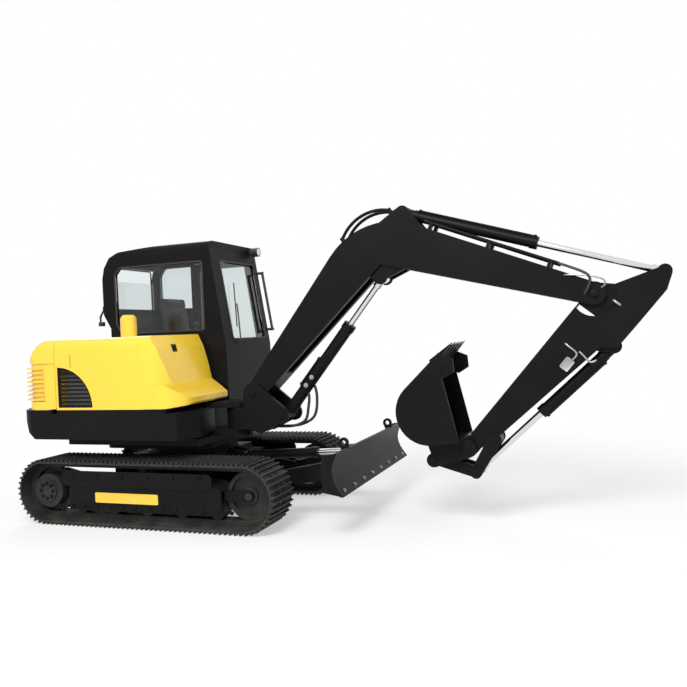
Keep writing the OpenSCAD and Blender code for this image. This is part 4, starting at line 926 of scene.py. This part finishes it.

# %% [markdown]
# ## Hoses of the boom cylinder
# Two hoses leave the foot of the swing post and loop up to the boom cylinder's barrel. Each one is a smooth bead
# through the points given, and is attached to no body.

# %% Boom cylinder hoses
hose_radius = 0.0125
hose_start = [(0.952, 0.8), (1.02, 0.8), (1.1, 0.799), (1.18, 0.803)]
hose_loops = {
    "hose_outer": (-0.185, [(1.238, 0.812), (1.309, 0.838), (1.37, 0.878), (1.396, 0.949), (1.404, 1.05), (1.4, 1.11),
                            (1.385, 1.16)]),
    "hose_inner": (-0.215, [(1.235, 0.82), (1.295, 0.848), (1.318, 0.899), (1.326, 0.975), (1.345, 1.05),
                            (1.334, 1.098)]),
}
for name, (y, loop) in hose_loops.items():
    hose = bead(name, [(x, y, z) for x, z in hose_start + loop], hose_radius, "dark_plastic", None, smooth=True)
    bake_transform(hose)
print("hoses made")

# %% [markdown]
# ## Cylinder fittings
# A pipe runs along each barrel between two ports and lies close against it. Two bright fittings sit on the side of
# the boom cylinder. A port is turned once and copied. A barrel starts at its joint and points along the axis that its
# rod slides on.

# %% Cylinder fittings
slide_along = {j["name"]: Vector(j["axis"]).normalized() for j in frame["record"]["behaviour"]["joints"]}
port = lathe([(0.0, 0.02), (0.008, 0.02), (0.009, 0.015), (0.015, 0.014), (0.015, 0.006), (0.021, 0.005),
              (0.021, -0.012), (0.0, -0.012)], steps=12)
pipe_height = 0.0085


def fit_out(name, radius, span, outward):
    """Two ports and a pipe on a barrel, on the side that looks outward."""
    foot = joint_at[name + "_cylinder"]
    along = slide_along[name + "_rod"]
    square = (Vector(outward) - along * along.dot(Vector(outward))).normalized()
    ends = [foot + along * u + square * radius for u in span]
    settle(spread(port, [facing(end, square) for end in ends]), name + "_ports", "black_paint", name + "_cylinder")
    line = [end + square * pipe_height for end in ends]
    bead(name + "_pipe", [(p.x - slew_x, p.y, p.z) for p in line], pipe_radius, "black_paint", name + "_cylinder")


boom_barrel = 0.052
fit_out("arm", 0.046, (0.14, 1.1), (0, -0.5, 1))
fit_out("boom", boom_barrel, (0.3, 0.58), (-0.77, 0, 0.63))
fit_out("bucket", 0.044, (0.14, 0.73), (0.67, -0.3, -0.74))
barrel_side = joint_at["boom_cylinder"] + Vector((0, -boom_barrel, 0))
fittings = [facing(barrel_side + slide_along["boom_rod"] * u, (0, -1, 0)) for u in (0.33, 0.42)]
settle(spread(port, fittings), "boom_fittings", "bare_steel", "boom_cylinder")
drop(port)
print("cylinders fitted out")

# %% [markdown]
# ## Levers and screen in the cab
# Through the glass the photograph shows levers in front of the seat. Two travel levers stand on the floor with turned
# grips, and a small screen stands at the right front.

# %% Cab inside
grip = lathe([(0.0, 0.11), (0.012, 0.108), (0.018, 0.095), (0.016, 0.06), (0.019, 0.03), (0.015, 0.0), (0.0, 0.0)],
             steps=16)
lever_tops = []
for y in (0.36, 0.47):
    bead("travel_lever_%d" % round(100 * y), [(0.16, y, 1.041), (0.16, y, 1.3), (0.19, y, 1.45), (0.17, y, 1.66)],
         0.011, "bare_steel", "upper", smooth=True)
    lever_tops.append(facing(at(0.17, y, 1.655), (-0.1, 0, 1)))
settle(spread(grip, lever_tops), "lever_grips", "dark_plastic", "upper")
drop(grip)
screen = flat_plate((0.03, 0.19, 0.13), rounding=0.015, thick_axis=0)
border(screen, (-1, 0, 0), width=0.012, depth=0.003)
screen.location = at(0.3, 0.12, 1.5)
settle(screen, "cab_screen", "dark_plastic", "upper")
bead("screen_stalk", [(0.305, 0.12, 1.45), (0.33, 0.12, 1.3), (0.36, 0.12, 1.045)], 0.012, "dark_plastic", "upper")
print("cab fitted out")

# %% [markdown]
# ## Rear lamps
# A small round lamp sits at each rear corner, on the counterweight's raised rim. It looks straight out from the slew
# axis.

# %% Rear lamps
rim_radius, lamp_side, lamp_height = 1.45, 0.6, 1.066
lamp_model = lathe([(0.0, 0.012), (0.014, 0.011), (0.02, 0.008), (0.022, 0.004), (0.027, 0.003), (0.027, -0.006),
                    (0.0, -0.006)], steps=24)
lamp_places = []
for y in (-lamp_side, lamp_side):
    out = Vector((-math.sqrt(rim_radius ** 2 - y ** 2), y, 0))
    lamp_places.append(facing(at(out.x, out.y, lamp_height), out))
settle(spread(lamp_model, lamp_places), "rear_lamps", "lamp_glass", "upper")
drop(lamp_model)
print("rear lamps made")

# %% [markdown]
# ## Padded seat
# The seat shows through the glass, so it gets real padding. Each pad starts as a bevelled block a little smaller than
# its solid, is remeshed into even small faces, and is blown up a little by the cloth simulation with its underside
# held. How far a point may move is capped. Sewn channels are pressed in afterwards, and one subdivision smooths the
# result.

# %% Padded seat
pad_room, pad_edge, grid = 0.03, 0.028, 0.008
most_swell, held_height, puff_frames = 0.022, 0.012, 20
seam_half, seam_depth = 0.009, 0.007


def puff_up(piece):
    """Cloth with air pressure inside, its underside held, stepped over some frames and then baked into the mesh."""
    rest = [point.co.copy() for point in piece.data.vertices]
    underside = min(point.z for point in rest)
    held = piece.vertex_groups.new(name="held")
    held.add([i for i, point in enumerate(rest) if point.z < underside + held_height], 1.0, "REPLACE")
    cloth = piece.modifiers.new("air", "CLOTH")
    cloth.settings.use_pressure = True
    cloth.settings.uniform_pressure_force = 4
    cloth.settings.effector_weights.gravity = 0
    cloth.settings.vertex_group_mass = held.name
    for step in range(1, puff_frames + 1):
        scene.frame_set(step)
    swollen = piece.evaluated_get(bpy.context.evaluated_depsgraph_get())
    moved = [point.co.copy() for point in swollen.data.vertices]
    piece.modifiers.remove(cloth)
    for point, a, b in zip(piece.data.vertices, rest, moved):
        shift = b - a
        if shift.length > most_swell:
            shift = shift.normalized() * most_swell
        point.co = a + shift
    scene.frame_set(1)
    piece.data.update()


def pad(size, channels):
    """A pad of a size, with sewn channels across it at the given x."""
    start_clean()
    bpy.ops.mesh.primitive_cube_add(size=1)
    piece = bpy.context.object
    piece.scale = [length - pad_room for length in size]
    bpy.ops.object.transform_apply(location=False, rotation=False, scale=True)
    bpy.ops.object.mode_set(mode="EDIT")
    bpy.ops.mesh.select_all(action="SELECT")
    bpy.ops.mesh.bevel(offset=pad_edge, segments=3, affect="EDGES")
    bpy.ops.object.mode_set(mode="OBJECT")
    piece.data.remesh_voxel_size = grid
    bpy.ops.object.voxel_remesh()
    puff_up(piece)
    for point in piece.data.vertices:
        top = max(0.0, point.normal.z)
        dip = sum(math.exp(-((point.co.x - line) / seam_half) ** 2) for line in channels)
        point.co.z -= seam_depth * dip * top
    smoother = piece.modifiers.new("smoother", "SUBSURF")
    smoother.levels = 1
    smoother.render_levels = 1
    only(piece)
    bpy.ops.object.modifier_apply(modifier=smoother.name)
    return piece


cushion = pad((0.46, 0.47, 0.1), (-0.07, 0.07))
cushion.location = at(-0.18, 0.435, 1.494)
only(cushion)
bpy.ops.object.transform_apply(location=True, rotation=True, scale=True)
backrest = pad((0.52, 0.45, 0.09), (-0.12, 0.03))
backrest.matrix_world = Matrix.Translation(at(-0.415, 0.435, 1.815)) @ Matrix.Rotation(math.radians(81.7), 4, "Y")
only(backrest)
bpy.ops.object.transform_apply(location=True, rotation=True, scale=True)
cushion.select_set(True)
bpy.context.view_layer.objects.active = cushion
bpy.ops.object.join()
padding = settle(cushion, "seat_padding", "seat_cloth", "upper", 80)
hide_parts("seat")
print("seat faces:", len(padding.data.polygons))
